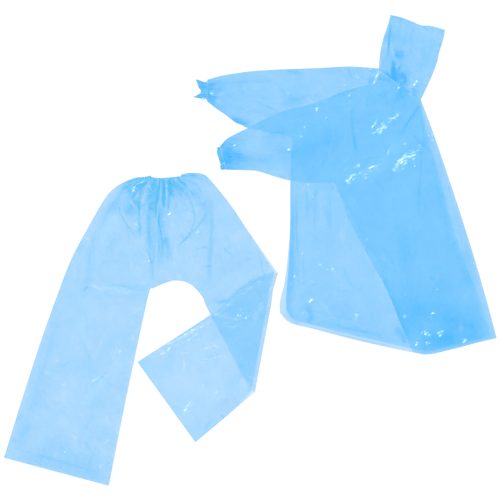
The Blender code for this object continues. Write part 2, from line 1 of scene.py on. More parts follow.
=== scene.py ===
import math
from collections import namedtuple
import bpy
import numpy as np
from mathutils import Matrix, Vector


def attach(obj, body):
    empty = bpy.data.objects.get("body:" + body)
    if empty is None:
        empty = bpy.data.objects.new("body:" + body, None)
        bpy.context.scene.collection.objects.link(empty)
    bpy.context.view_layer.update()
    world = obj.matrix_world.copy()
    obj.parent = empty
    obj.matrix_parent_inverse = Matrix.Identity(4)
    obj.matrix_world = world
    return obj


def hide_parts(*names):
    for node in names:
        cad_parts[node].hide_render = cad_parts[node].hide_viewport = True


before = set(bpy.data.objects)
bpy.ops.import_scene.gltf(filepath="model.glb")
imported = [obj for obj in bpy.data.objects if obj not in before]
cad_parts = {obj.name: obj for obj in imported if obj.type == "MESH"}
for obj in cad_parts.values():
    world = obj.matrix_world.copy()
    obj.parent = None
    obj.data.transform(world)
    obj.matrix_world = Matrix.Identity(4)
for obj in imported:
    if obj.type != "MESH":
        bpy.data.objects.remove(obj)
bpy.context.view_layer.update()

# Rain suit of thin blue film, laid flat. Every panel is one sheet of film on its solid's form,
# so that what lies on something else shows it through. Sizes are in millimetres until each
# mesh is made, with the origin on the floor under the middle of the suit.

MM = 0.001

# Each sheet lies in the middle of its solid's wall
WALL = 1.0
HALF_WALL = WALL / 2
SEAM_GAP = 0.3
SECOND_WALL = HALF_WALL + WALL + SEAM_GAP
FOLD_GAP = 1.0

# Heights of the sheets where film is folded on film, and the least height of any film
BACK_UNDER = HALF_WALL
FRONT_UNDER = BACK_UNDER + WALL + SEAM_GAP
FRONT_OVER = FRONT_UNDER + WALL + FOLD_GAP
BACK_OVER = FRONT_OVER + WALL + SEAM_GAP
FOLD_AXIS = (BACK_UNDER + BACK_OVER) / 2
BEND_STEPS = 8
LOWEST = 0.25

# How far film that runs off the layers below it stays up, and how soon it reaches the floor
STAY_UP = 25.0
SETTLE = 60.0

# Cell size of the sheets that show, of those under other layers and of the hood
FINE = 3.4
COARSE = 8.0
HOOD_CELL = 2.6
FEWEST_CELLS = 4

Swell = namedtuple("Swell", "x y length width angle height")

# A crease: its points, the height of its ridge or depth of its trough, its half width, the
# extra layers of film that lie along it, and how much of it is crumpled finely. Fewer layers
# than none along a ridge or a glint draw its film lighter: that is painted highlight
Fold = namedtuple("Fold", "points height width layers gleam")

# Pleats at an elastic or a seam: their number, height, length and extra film; the layers of
# film that crowd there, how far these reach, and the share of the width where they are most
Gather = namedtuple("Gather", "count height fade layers crowd reach middle seed")

# Chance creases: how many for each square metre, their length, height and half width, the way
# most of them run in degrees and how far they turn from it, extra layers and crumpling
Chance = namedtuple("Chance", "density length height width angle spread layers gleam seed")

# Coat, seen from above. Each edge is a row of x, y points in millimetres.
NECK_RIGHT = (451, 636)
NECK_LEFT = (597, 526)
NECK_FOLDED = (524, 581)
RIGHT_ARMPIT = (146, 397)
LEFT_ARMPIT = (296, 236)
COAT_SIDE = [RIGHT_ARMPIT, (140, 246), (139, 83), (131, -22), (121, -106), (104, -180),
             (104, -219)]
COAT_HEM = [(104, -219), (140, -254), (225, -276), (337, -306), (430, -328), (561, -356),
            (622, -365), (701, -348), (785, -326), (862, -307)]
COAT_FOLD = [NECK_LEFT, (642, 405), (690, 265), (736, 125), (780, -15), (821, -155), (862, -307)]
FRONT_SIDE = [RIGHT_ARMPIT, (141, 246), (140, 83), (135, -40), (127, -140), (125, -208)]
FRONT_HEM = [(125, -208), (155, -242), (225, -263), (337, -292), (430, -313), (561, -343),
             (622, -353), (701, -336), (770, -318), (842, -304)]
FRONT_FOLD = [(594, 526), (620, 405), (660, 265), (698, 125), (740, -15), (795, -155),
              (842, -304)]
OVER_SIDE = [LEFT_ARMPIT, (324, 162), (352, 92), (430, -51), (463, -111), (496, -181),
             (524, -254), (569, -356)]
OVER_HEM = [(569, -356), (622, -362), (701, -347), (785, -325), (862, -307)]
FRONT_OVER_SIDE = [LEFT_ARMPIT, (338, 160), (372, 92), (452, -51), (482, -111), (510, -181),
                   (534, -254), (566, -341)]
FRONT_OVER_HEM = [(566, -341), (622, -350), (701, -334), (770, -316), (842, -304)]

# Sleeves: the shoulder edge and the edge under the arm, from the coat to the cuff
RIGHT_SLEEVE_TOP = [NECK_RIGHT, (349, 643), (244, 638), (34, 629), (-89, 613), (-150, 597)]
RIGHT_SLEEVE_UNDER = [RIGHT_ARMPIT, (69, 411), (-8, 428), (-34, 440), (-52, 447), (-87, 474),
                      (-122, 498), (-152, 522)]
LEFT_SLEEVE_TOP = [NECK_FOLDED, (471, 588), (412, 579), (314, 551), (230, 516), (100, 481),
                   (-8, 428), (-41, 412), (-83, 389), (-105, 364)]
LEFT_SLEEVE_UNDER = [LEFT_ARMPIT, (216, 236), (140, 244), (92, 256), (30, 276), (-13, 280),
                     (-84, 282)]

# Hood, lying on its side with the face opening to the left
HOOD_FACE = [(491, 824), (477, 776), (464, 735), (455, 692), NECK_RIGHT]
HOOD_UPPER_FACE = [(491, 824), (483, 771), (478, 718), (470, 676), NECK_RIGHT]
HOOD_TOP = [(491, 824), (540, 811), (596, 788), (624, 786), (652, 780), (681, 771)]
HOOD_BACK = [(681, 771), (676, 741), (660, 688), (653, 657), (632, 602), NECK_LEFT]

# Trousers: waist, rise and crotch, then each leg's edges from the waist to the hem
WAIST_RIGHT = (-357, 249)
WAIST_LEFT = (-250, 249)
BULGE_RIGHT = (-372, 257)
BULGE_LEFT = (-240, 266)
RISE_TOP = (-313, 249)
CROTCH = (-341, -133)
RIGHT_LEG_OUTER = [BULGE_RIGHT, (-405, 253), (-447, 236), (-475, 218), (-504, 188), (-554, 104),
                   (-622, -22), (-672, -148), (-732, -316), (-800, -526), (-862, -726)]
RIGHT_LEG_INNER = [CROTCH, (-356, -155), (-403, -370), (-446, -575), (-495, -824)]
LEFT_LEG_OUTER = [BULGE_LEFT, (-209, 271), (-167, 267), (-138, 244), (-70, 160), (-14, 77),
                  (97, -79)]
LEFT_LEG_INNER = [CROTCH, (-304, -117), (-262, -106), (-213, -117), (-169, -161), (-139, -225),
                  (16, -498)]
LEG_FOLD = [(16, -498), (37, -384), (72, -195), (80, -139), (97, -79)]
FLAP_OUTER = [(97, -79), (0, -116), (-66, -165), (-139, -225), (-395, -391)]
FLAP_INNER = [(16, -498), (-69, -568), (-192, -672)]

# How far inside the back panel's fold each panel of the left leg is folded
BACK_FOLD_INSET = 0.0
FRONT_FOLD_INSET = 14.0

# Largest soft swells of the upper layers: the middle's x and y, length, width, the angle of
# the length from +X in degrees, and height
COAT_SWELLS = [
    Swell(255, 20, 420, 190, -66, 3),
    Swell(330, -170, 300, 170, -14, 3),
    Swell(130, 520, 420, 150, -6, 3),
]
OVER_SWELLS = [
    Swell(520, 330, 330, 120, 38, 5),
    Swell(440, 250, 260, 90, 24, 4),
    Swell(610, 60, 480, 130, -76, 5),
    Swell(690, -210, 260, 120, -35, 4),
]
LEFT_SLEEVE_SWELLS = [
    Swell(230, 380, 330, 150, 14, 5),
    Swell(20, 350, 240, 90, 10, 4),
    Swell(370, 480, 240, 110, 40, 4),
]
RIGHT_LEG_SWELLS = [
    Swell(-470, 60, 330, 110, 66, 5),
    Swell(-450, -150, 260, 90, -6, 5),
    Swell(-560, -290, 360, 120, 62, 5),
    Swell(-520, -500, 300, 110, 48, 5),
    Swell(-660, -620, 300, 110, -25, 4),
]
LEFT_LEG_SWELLS = [
    Swell(-205, 80, 330, 90, -72, 5),
    Swell(-110, 20, 240, 90, -40, 4),
]
FLAP_SWELLS = [
    Swell(-190, -400, 360, 110, 30, 4),
    Swell(-110, -530, 230, 80, 40, 4),
]
HOOD_SWELLS = [
    Swell(580, 700, 170, 110, 70, 6),
]

# Gathered rings of film over elastic, section by section outwards from the cloth's edge: the
# way outwards, half width, half height, depth of the pleats and length of the frill's tip
RIGHT_CUFF = [
    (0, 32, 4, 0.8, 0),
    (6, 27, 4, 1.2, 0),
    (9, 30, 4, 1.2, 12),
    (12, 36, 4, 1, 37),
]
LEFT_CUFF = [
    (0, 41, 4, 0.8, 0),
    (4, 39, 4, 1.2, 2),
    (8, 40, 4, 1, 10),
]
WAIST = [
    (0, 52, 4, 1, 0),
    (2, 51, 4, 1.2, 2),
    (3, 52, 4, 1.2, 10),
]

# How far each ring's frill reaches, as a share of its tip, at places across the ring from
# its start, -1, to its stop, 1
RIGHT_CUFF_FRILL = (
    [-1.0, -0.95, -0.7, -0.2, 0.06, 0.3, 0.55, 0.68, 0.76, 0.84, 1.0],
    [0.65, 0.76, 0.6, 0.46, 0.18, 0.27, 0.7, 1.0, 0.45, 0.0, 0.08],
)
LEFT_CUFF_FRILL = (
    [-1.0, -0.88, -0.6, 0.45, 0.75, 0.92, 1.0],
    [0.75, 0.3, 0.75, 0.68, 1.0, 0.9, 0.0],
)
WAIST_FRILL = (
    [-1.0, -0.87, -0.72, -0.62, -0.35, 0.1, 0.25, 0.5, 1.0],
    [0.6, 0.75, 1.0, 0.45, 0.1, 0.05, 0.4, 0.25, 0.6],
)

# Rings: points around each pleat, rows outwards, how square the tube is and how much the pleats
# are shifted; the pleats' depth and its range, the least half height inside, how ragged the
# edge is and how soon it gets so; layers of film, the least share of them, and crumpling; and
# the number of pleats all round each ring
RING_SAMPLES = 8
RING_ROWS = 14
RING_SQUARENESS = 0.45
RING_JITTER = 0.8
RING_RIPPLE = 1.6
RING_PLEAT_SIZE = (0.5, 1.3)
RING_THINNEST = 0.4
RING_FRAY = 1.6
FRAY_RISE = 3
RING_LAYERS = 1.0
RING_LEAST = 0.4
RING_GLEAM = 0.03
RIGHT_CUFF_PLEATS = 17
LEFT_CUFF_PLEATS = 19
WAIST_PLEATS = 30

# Where the film of the waist's elastic begins, and how far each elastic's film and the hood's
# lap over the film beside them
WAIST_RING_START = (-364, 248)
WAIST_LAP = 9.0
CUFF_LAP = 1.0
HOOD_LAP = 3.0

# The film along a fold: the width of its rim, and the layers of film more or less there
RIM_WIDTH = 18.0
COAT_FRONT_RIM = -0.35
COAT_BACK_RIM = -0.15
LEG_FRONT_RIM = 0.0
LEG_BACK_RIM = -0.1

# The bulge beside the waist is one part in this many of a leg's cells; how closely the leg's
# rows crowd towards the waist, how high top layers puff up, and the share of the solid's swell
# on the hood
BULGE_SHARE = 7
LEG_CROWDING = 1.3
TOP_LAYER_PILLOW = 1.5
HOOD_SWELL_SHARE = 0.6

# Pleats: how far each strays from its even place and leans, in pleats; the range of its width
# in pleats; the ranges of length, height and layers as shares of those given; and how far
# across an elastic its crowded film reaches, as a share of the width
PLEAT_STRAY = 0.35
PLEAT_LEAN = 0.4
PLEAT_WIDTH = (0.3, 0.75)
PLEAT_LENGTH = (0.35, 1.25)
PLEAT_HEIGHT = (0.5, 1.2)
PLEAT_LAYERS = (-0.4, 1.3)
CROWD_SHARE = 0.65

# How far past the coat's neck its pleats go on along the shoulder, and where they fade out
NECK_PLEATS_PAST = 10.0
NECK_PLEATS_FADE = 60.0

# Creases: samples between given points, the share of the length in which the ends fade in and
# what is left at the very end, and the powers by which ridge and layers fall to the sides
CREASE_SAMPLES = 4
END_FADE = 0.3
END_LEFT = 0.15
RIDGE_FALL = 2
LAYERS_FALL = 1.2

# Chance creases: ranges as shares of what is given, the bow as a share of half the length, a
# trough's or a ridge's share of the height, and how far apart the sheets' seeds are
STREWN_LENGTH = (0.4, 1.3)
STREWN_BOW = 0.15
STREWN_HEIGHT = (0.35, 1.2)
STREWN_SIGNS = (-0.7, 1)
STREWN_WIDTH = (0.7, 1.5)
SHEET_SEEDS = 100

# Film: its blue, its deeper blue and the share of light that one layer lets through
COAT_BLUE = (0.2, 0.503, 0.803)
COAT_DEEP = (0.02, 0.363, 0.762)
COAT_LAYER = 0.38
TROUSER_BLUE = (0.285, 0.535, 0.79)
TROUSER_DEEP = (0.01, 0.375, 0.74)
TROUSER_LAYER = 0.45
FILM_IOR = 1.5

# The film's noises: scale, detail and roughness of the mottle and the fine noise, and the scale
# and detail of the one that bends the fine textures, and how far it moves them in metres
MOTTLE = (11.0, 5.0, 0.62)
FINE_NOISE = (75.0, 4.0, 0.6)
WARP_SCALE = 16.0
WARP_DETAIL = 2.0
WARP = (0.02, 0.02, 0.0)

# How far the colour is from blue to deeper blue, the roughness and the layers of film: each a
# start, and what the mottle, the fine noise, the extra layers and the crumpling add
TONE, TONE_MOTTLE, TONE_FINE, TONE_LAYERS = -0.02, 0.5, 0.35, 0.6
ROUGH, ROUGH_MOTTLE, ROUGH_GLEAM = 0.16, 0.14, -0.02
FILM, FILM_MOTTLE, FILM_FINE, LEAST_FILM = 0.78, 0.24, 0.2, 0.25

# The finest creases: depth in metres, scale and width of the wide and the narrow ones, shares
# of the narrow ones and the fine noise, and how deep they are in smooth and in crumpled film
BUMP = 0.0006
WIDE_RIDGES = (15.0, 0.16)
NARROW_RIDGES = (44.0, 0.2)
NARROW_SHARE = 0.45
FINE_SHARE = 0.9
BUMP_SHARE = 0.3
BUMP_IN_GLEAM = -0.25

# Crumpled film: its flat facets for each metre, their shape, the way they run in degrees, the
# slope they lean with, how much that slope varies, and how much less where the film is
# crumpled most
FACETS = 380.0
FACET_SHAPE = (3.0, 1.0, 1.0)
CRUMPLE_TURN = 40
COAT_LEAN = (-0.235, 0.205, 0.0)
TROUSER_LEAN = (-0.16, 0.212, 0.0)
FACET_SPREAD = 0.195
CRUMPLED_FLAT = 0.5

# Studio: strength of the dome, the sun's tilt, turn and width in degrees, and sizes in metres
DOME_LIGHT = 0.85
KEY_TILT = 32
KEY_TURN = 130
KEY_WIDTH = 11
KEY_STRENGTH = 1.62
KEY_DISTANCE = 4.0
FLOOR_COLOUR = (0.8, 0.8, 0.8, 1)
FLOOR_LEVEL = -0.0006
FLOOR_REACH = 30.0
CAMERA_HEIGHT = 6.0
CAMERA_REACH = 100.0
VIEW_WIDTH = 1.75
VIEW_MIDDLE = (-0.001, 0.001)
FILM_LAYERS_SEEN = 32

RIGHT_CUFF_GATHER = Gather(8, 0.5, 90, 0.6, 0.5, 90, 0.5, 12)
LEFT_CUFF_GATHER = Gather(8, 0.5, 70, 1.2, 0.95, 130, 0.5, 22)
WAIST_RIGHT_GATHER = Gather(11, 0.9, 130, 0.95, 0.85, 170, 0.7, 13)
WAIST_LEFT_GATHER = Gather(8, 0.9, 120, 1.1, 0.6, 190, 0.2, 14)
NECK_GATHER = Gather(12, 0.6, 110, 0.45, 0.2, 40, 0.5, 15)
HOOD_GATHER = Gather(10, 0.5, 80, 0.5, 0.3, 30, 0.5, 16)

COAT_CREASES = [
    Chance(120, 110, 0.5, 12, -72, 35, 0.2, 0, 1),
    Chance(350, 36, 0.4, 5.5, 40, 70, 0.16, 0.03, 2),
]
SLEEVE_CREASES = [
    Chance(160, 100, 0.5, 11, 5, 30, 0.18, 0, 1),
    Chance(420, 32, 0.4, 7, 20, 60, 0.14, 0.04, 2),
]
HOOD_CREASES = [
    Chance(260, 70, 0.4, 9, 70, 35, 0.2, 0, 1),
    Chance(500, 26, 0.3, 6, 20, 80, 0.16, 0.03, 2),
]
LEG_CREASES = [
    Chance(110, 110, 0.4, 6.5, 65, 45, 0.25, 0, 1),
    Chance(420, 40, 0.3, 5, 40, 80, 0.28, 0.02, 2),
]
LOWER_CREASES = [
    Chance(90, 90, 0.4, 14, 60, 80, 0.14, 0, 1),
]


def folds(rows):
    """Creases from rows of height, half width, layers and crumpling, then each point's x, y."""
    return [Fold(list(zip(row[4::2], row[5::2])), *row[:4]) for row in rows]


# Creases placed one by one, from the photo
# Ridges and glints below with negative layers draw the film lighter: painted highlight
RIGHT_LEG_FOLDS = folds([
    (0, 26, 0.34, 0, -449, 183, -467, 155, -484, 120),
    (0, 19, 0.34, 0, -362, 134, -358, 78, -355, 8),
    (0, 48, 0.68, 0, -386, 190, -411, 155, -442, 117),
    (0, 26, 0.34, 0, -393, 124, -390, 89, -390, 50),
    (0, 40, 0.34, 0, -834, -692, -799, -650, -771, -594),
    (0.52, 7, 0.82, 0, -360, 243, -390, 232, -418, 215, -435, 201),
    (0.52, 8, 0.54, 0, -365, 239, -393, 211, -418, 176),
    (0.52, 8, 0.27, 0, -342, 243, -341, 211, -339, 176),
    (0.52, 6, 0.48, 0, -325, 243, -327, 204, -327, 166),
    (0.52, 6, 0.2, 0, -379, 243, -428, 229, -470, 201),
    (0.52, 8, -0.54, 0, -362, 225, -372, 190, -383, 155),
    (0, 90, 0.38, 0, -824, -706, -666, -741, -484, -797),
    (0, 110, 0.17, 0, -439, 54, -474, -16, -509, -104),
    (0.39, 6, 0.14, 0, -848, -685, -771, -706, -666, -737, -498, -786),
    (0.65, 24, 0.42, 0, -362, 246, -404, 218, -439, 183),
    (-0.65, 16, 0.34, 0, -376, 239, -429, 222, -463, 180, -498, 134, -526, 64),
    (-0.52, 20, 0.3, 0, -523, 134, -544, 57, -558, -6, -565, -86, -579, -170),
    (0.78, 18, -0.2, 0, -407, 243, -456, 222, -498, 180, -523, 134, -547, 64, -582, -20),
    (0.78, 14, 0.41, 0, -362, 245, -372, 218, -383, 183),
    (0.91, 5, -0.14, 0.1, -460, 166, -442, 127, -418, 85, -395, 50),
    (-0.65, 6, 0.58, 0, -463, 166, -453, 127, -428, 85, -400, 43),
    (0.52, 8, 0.51, 0, -390, 183, -388, 113, -385, 36),
    (0.52, 17, 0.51, 0, -348, 232, -351, 159, -353, 64, -351, -86),
    (0.39, 16, 0.48, 0, -334, 218, -335, 124, -334, 15, -339, -121),
    (-0.65, 6, 0.41, 0, -309, 239, -327, 194, -328, 124, -318, 64, -323, 1, -337, -128),
    (-0.78, 9, 0.34, 0, -533, -104, -492, -119, -421, -127, -344, -127),
    (0.98, 7, -0.07, 0.15, -512, -134, -474, -141, -428, -148, -355, -135),
    (-0.65, 9, 0.24, 0, -498, -151, -439, -163, -365, -151),
    (-0.65, 6, 0.41, 0, -463, -118, -407, -139, -351, -135),
    (0.2, 8, 0, 0.55, -554, -468, -542, -456, -525, -442),
    (-0.65, 8, 0.24, 0, -549, -475, -530, -457, -498, -422),
    (0.2, 8, 0, 0.3, -595, -537, -572, -541, -558, -546),
    (0.2, 8, 0, 0.55, -632, -648, -615, -656, -595, -666),
    (-0.65, 9, 0.2, 0, -548, -562, -575, -632, -610, -688),
    (0.2, 7, 0, 0.5, -416, 211, -397, 223),
    (0.2, 6, 0, 0.2, -432, 183, -426, 199),
    (0.2, 7, 0, 0.2, -743, -408, -738, -391),
    (0.2, 7, 0, 0.2, -652, -713, -638, -706),
    (0.2, 7, 0, 0.3, -522, -758, -520, -734),
    (0.2, 7, 0, 0.2, -460, -370, -453, -352),
    (0, 14, -0.24, 0, -344, -153, -358, -216, -405, -384, -453, -611, -491, -811),
    (0.65, 26, 0.21, 0, -659, -174, -701, -331, -757, -517, -806, -664),
    (0.78, 8, -0.1, 0.15, -498, 15, -460, 1, -414, -13),
    (-0.65, 12, 0.14, 0, -540, -62, -484, -41, -421, -48),
])
# Ridges below with negative layers draw the film lighter: painted highlight
LEFT_LEG_FOLDS = folds([
    (0.2, 9, 0.68, 0, -316, 246, -299, 239, -274, 236),
    (0, 30, 0.3, 0, -204, 211, -183, 183, -166, 148),
    (0, 22, 0.38, 0, -295, 50, -288, 8, -281, -41),
    (0.33, 9, 0.75, 0, -260, 250, -243, 239, -222, 225),
    (0, 17, 0.48, 0, -309, 159, -306, 89, -295, 1),
    (0, 34, 0.42, 0, -166, 183, -155, 134, -155, 78),
    (0.52, 7, 0.95, 0, -304, 243, -303, 204, -306, 162),
    (0.52, 6, 0.82, 0, -283, 243, -282, 211, -278, 190),
    (0.52, 6, 0.61, 0, -269, 243, -264, 225, -258, 211),
    (0.52, 6, 0.34, 0, -253, 246, -232, 232, -211, 211, -190, 180),
    (0.52, 8, 0.41, 0, -246, 250, -211, 243, -180, 229),
    (0.52, 5, -0.48, 0, -294, 239, -293, 204, -292, 176),
    (0, 130, 0.1, 0, -176, 71, -36, -104),
    (0.52, 9, 0.61, 0, -286, 232, -285, 176, -290, 131),
    (0.52, 10, 0.61, 0, -300, 243, -301, 190, -304, 131),
    (0.59, 9, 0.34, 0, -281, 246, -278, 211, -269, 183),
    (0.59, 16, 0.44, 0, -264, 250, -246, 225, -230, 201),
    (-0.65, 6, 0.54, 0, -257, 225, -225, 197, -206, 166, -194, 117, -204, 75, -232, 33, -260, 1),
    (0.39, 17, 0.68, 0, -327, 204, -325, 134, -321, 54, -316, -62),
    (-0.65, 6, 0.54, 0, -323, 232, -325, 176, -320, 106, -309, 36, -302, -62),
    (-0.65, 8, 0.51, 0, -145, 141, -173, 96, -211, 52, -257, 12),
    (0.39, 13, 0.41, 0, -134, 180, -136, 36, -141, -41, -141, -149),
    (0.52, 12, 0.14, 0, -166, 232, -145, 183, -127, 120),
    (0.65, 10, 0.17, 0, -292, 134, -292, -23),
    (-0.65, 14, 0.68, 0, 95, -81, 48, -93, 1, -116, -36, -139, -66, -170, -99, -181, -126, -179,
     -153, -169),
    (0.2, 6, 0, 0.5, -293, 120, -276, 131),
    (0.2, 6, 0, 0.45, -311, 106, -302, 106),
    (0.2, 6, 0, 0.4, -281, 97, -265, 96),
    (0.2, 5, 0, 0.2, -236, 94, -211, 96),
    (0.2, 5, 0, 0.2, -194, 57, -176, 66),
    (0.2, 6, 0, 0.4, -173, 169, -164, 174),
    (0.65, 5, 0, 0.1, -225, 129, -201, 141),
    (0.65, 16, -0.17, 0, -239, 260, -190, 239, -155, 211),
])
# Ridges and glints below with negative layers draw the film lighter: painted highlight
FLAP_FOLDS = folds([
    (0, 24, -0.85, 0, 51, -174, 30, -216, 6, -251),
    (0, 26, -0.34, 0, -43, -475, -5, -461, 13, -419),
    (0, 20, -0.42, 0, -134, -219, -89, -190, -54, -163, -19, -137, 27, -113, 69, -97),
    (0, 170, -0.26, 0, -299, -401, -89, -524),
    (0.65, 5, -0.1, 0.1, -75, -189, -36, -160, 6, -132, 48, -107),
    # Glints along the flap's upper edge: fewer layers draw them lighter, a painted highlight
    # besides the facets' real glints
    (0.2, 7, -0.34, 0.5, -309, -338, -244, -307, -187, -275, -143, -249, -126, -240),
    (0.85, 7, 0.07, 0.1, -288, -352, -218, -317, -166, -289),
    (0.78, 7, 0, 0.12, -351, -391, -302, -359, -260, -338),
    (0.98, 7, 0, 0.15, -131, -233, -99, -216),
    (0.2, 7, 0, 0.45, -75, -191, -64, -183),
    (0.2, 7, 0, 0.45, -60, -240, -43, -230, -26, -219),
    (0.2, 7, 0, 0.6, -26, -240, -13, -236, -2, -228),
    (0.91, 7, 0, 0.12, -92, -261, -78, -251),
    (0.2, 7, 0, 0.3, 69, -134, 79, -125),
    (0.2, 6, 0, 0.2, 30, -118, 44, -111),
    (0.2, 7, 0, 0.3, -166, -499, -155, -489),
    (0.2, 7, 0, 0.25, -115, -480, -120, -499, -127, -517),
    (0.2, 7, 0, 0.3, -43, -503, -29, -492),
    (0.2, 8, 0, 0.55, -236, -569, -218, -547, -197, -531),
    (0.91, 8, 0, 0.1, -167, -347, -145, -342, -124, -335),
    (0.2, 7, 0, 0.3, -360, -380, -348, -373),
    (0.2, 7, 0, 0.2, -330, -367, -316, -361),
])
COAT_BACK_FOLDS = folds([
    (0, 22, 0.42, 0, 125, -212, 146, -237, 181, -258),
    (0, 11, 0.34, 0, 142, -254, 279, -288, 426, -323, 548, -347),
])
# Ridges and glints below with negative layers draw the film lighter: painted highlight
COAT_OVER_FOLDS = folds([
    (0, 46, 0.64, 0, 580, -328, 650, -307, 727, -303),
    (0, 42, 0.34, 0, 741, 19, 758, -51, 783, -156),
    (0.33, 14, 0.54, 0, 524, 579, 527, 554, 520, 530),
    (-0.39, 7, 0.34, 0, 475, 516, 499, 526, 524, 551),
    (-1.04, 8, 0.75, 0, 597, 516, 582, 491, 562, 461, 541, 428, 529, 404),
    (-0.85, 6, 0.54, 0, 597, 355, 598, 299, 594, 239, 589, 176, 587, 124),
    (-0.52, 8, 0.17, 0, 604, 456, 608, 407, 601, 358),
    (-0.72, 9, 0.41, 0, 555, 544, 531, 531, 506, 519, 501, 481),
    (-0.78, 6, 0.41, 0, 464, 379, 471, 362, 479, 348, 477, 323),
    (-0.65, 6, 0.31, 0, 387, 299, 405, 313, 433, 321, 468, 323),
    (-0.65, 6, 0.27, 0, 482, 327, 510, 331, 538, 341),
    (0.2, 5, -0.07, 0.2, 492, 351, 520, 365, 559, 379),
    (0.2, 6, 0, 0.9, 387, 404, 405, 421, 419, 435),
    (0.2, 11, -0.07, 1.5, 398, 416, 422, 440, 445, 461),
    (0.2, 7, -0.03, 1, 475, 446, 499, 463, 529, 482),
    (0.2, 12, -0.07, 1.2, 443, 405, 457, 425, 478, 446),
    (0.2, 6, 0, 0.6, 419, 409, 436, 416),
    (0.2, 15, -0.07, 2, 503, 271, 520, 295, 541, 316, 566, 335),
    (0.2, 10, -0.07, 1.6, 524, 285, 545, 306, 562, 321, 583, 337),
    (0.2, 6, -0.07, 1, 538, 330, 559, 342, 583, 341),
    (0.2, 13, -0.07, 1.7, 380, 257, 405, 271, 426, 283, 457, 292),
    (0.2, 9, 0, 1.1, 391, 250, 408, 264),
    (0.2, 13, 0, 0.75, 335, 232, 354, 257, 377, 253),
    (0.2, 6, 0, 1, 587, 355, 601, 368),
    (0.2, 6, -0.07, 0.6, 555, 540, 562, 549, 567, 561),
    (0.2, 6, -0.07, 0.6, 505, 572, 526, 572),
    (0.2, 6, 0, 0.5, 445, 566, 461, 568),
    (0.2, 8, 0.07, 0.55, 597, -282, 618, -295, 636, -303),
    (0.2, 9, 0.07, 1, 655, -298, 678, -282),
    (0.2, 8, 0, 0.8, 573, -335, 589, -323),
    (0.2, 8, 0, 0.8, 618, -326, 634, -323),
    (0.2, 8, -0.14, 1, 737, -321, 762, -314),
    (0.2, 6, 0, 0.8, 635, -233, 640, -216),
    (0.2, 6, 0, 0.9, 534, -232, 547, -230),
    (0.2, 5, 0, 0.6, 650, -139, 665, -139),
    (0.2, 6, 0, 0.6, 356, 288, 384, 300),
    (0.65, 60, 0.26, 0, 636, -62, 664, -174, 741, -279),
    (0.65, 90, 0.59, 0, 552, -174, 664, -237, 821, -272),
    (0.52, 70, 0.42, 0, 506, -111, 531, -181, 559, -261, 583, -331),
    (0.52, 22, 0.59, 0, 440, -41, 471, -107, 499, -181, 531, -258, 566, -335),
    (0.39, 14, 0.24, 0, 314, 211, 349, 134, 394, 43, 440, -41),
    (0.65, 40, 0.38, 0, 611, -335, 664, -328, 741, -317, 839, -286),
    (0.78, 12, 0.27, 0, 520, 561, 534, 533, 541, 491),
    (0.2, 5, 0.24, 0.2, 548, 554, 569, 549, 594, 530),
    (0.78, 26, 0.17, 0, 629, 351, 657, 211, 688, 54, 723, -86),
    (0.78, 30, 0.17, 0, 506, 176, 531, 36, 552, -121, 594, -261),
    (0, 22, -0.3, 0, 552, 554, 573, 537, 594, 523),
    (0.65, 12, 0.2, 0, 559, 124, 576, 36, 566, -41),
    (0.65, 14, -0.14, 0, 496, 85, 517, -41, 559, -174),
])
# Ridges and glints below with negative layers draw the film lighter: painted highlight
LEFT_SLEEVE_FOLDS = folds([
    (0, 26, 0.34, 0, 44, 393, 86, 407, 128, 418),
    (0, 34, 0.38, 0, -1, 316, 48, 313, 104, 316),
    (-0.52, 8, 0.48, 0, -92, 330, -57, 325, -1, 320),
    (-0.39, 5, 0.07, 0, -92, 351, -68, 355, -36, 362),
    (-0.39, 6, 0.34, 0, -92, 313, -64, 306, -36, 302),
    (0, 100, 0.42, 0, 69, 351, 174, 351, 349, 421),
    (0.2, 7, 0, 0.45, 225, 492, 240, 494),
    (0.2, 7, 0, 0.2, 172, 447, 186, 449),
    (0.2, 7, 0, 0.4, 204, 426, 216, 432),
    (0.2, 9, 0, 0.7, 163, 391, 183, 409),
    (0.2, 7, 0, 0.45, 123, 351, 149, 360),
    (1.1, 7, 0, 0.15, -78, 341, -55, 343),
    (0.98, 7, 0, 0.15, 90, 402, 111, 404),
    (0.2, 7, 0, 0.2, 344, 523, 349, 544),
    (-0.78, 7, 0.41, 0, 366, 565, 328, 549, 300, 537, 272, 526),
    (-0.85, 9, 0.44, 0, 358, 505, 356, 456, 363, 393, 370, 344, 384, 306),
    (-0.65, 8, 0.34, 0, 361, 407, 365, 379, 372, 344),
    (0.78, 14, 0.24, 0, 510, 582, 475, 554, 433, 537),
    (0.78, 14, 0.24, 0, 517, 568, 482, 512, 454, 470),
    (0.65, 8, 0.2, 0, 405, 537, 405, 512, 422, 481),
    (-0.72, 6, 0.41, 0, -85, 337, -50, 335, -15, 330),
    (0.91, 6, 0, 0.15, -82, 346, -57, 344),
    (0.2, 6, -0.07, 0.3, -59, 355, -54, 367),
    (-0.65, 6, 0.24, 0, -78, 376, -68, 365, -61, 344),
    (0.91, 7, 0, 0.12, -36, 286, -15, 287, 6, 287),
    (0.52, 22, 0.42, 0, -90, 365, -80, 327, -85, 285),
    (0.52, 10, 0.34, 0, -85, 351, -75, 323, -78, 295),
    (0.52, 10, 0.34, 0, -103, 358, -97, 323, -96, 292),
    (-0.52, 8, 0.24, 0, -68, 316, -36, 313, 6, 313),
    (0.78, 16, 0.14, 0, 41, 379, 104, 351, 195, 344),
    (0.65, 18, 0.17, 0, 174, 239, 237, 288, 279, 351, 300, 421),
    (0.65, 14, -0.14, 0, 279, 491, 293, 421, 286, 316),
])
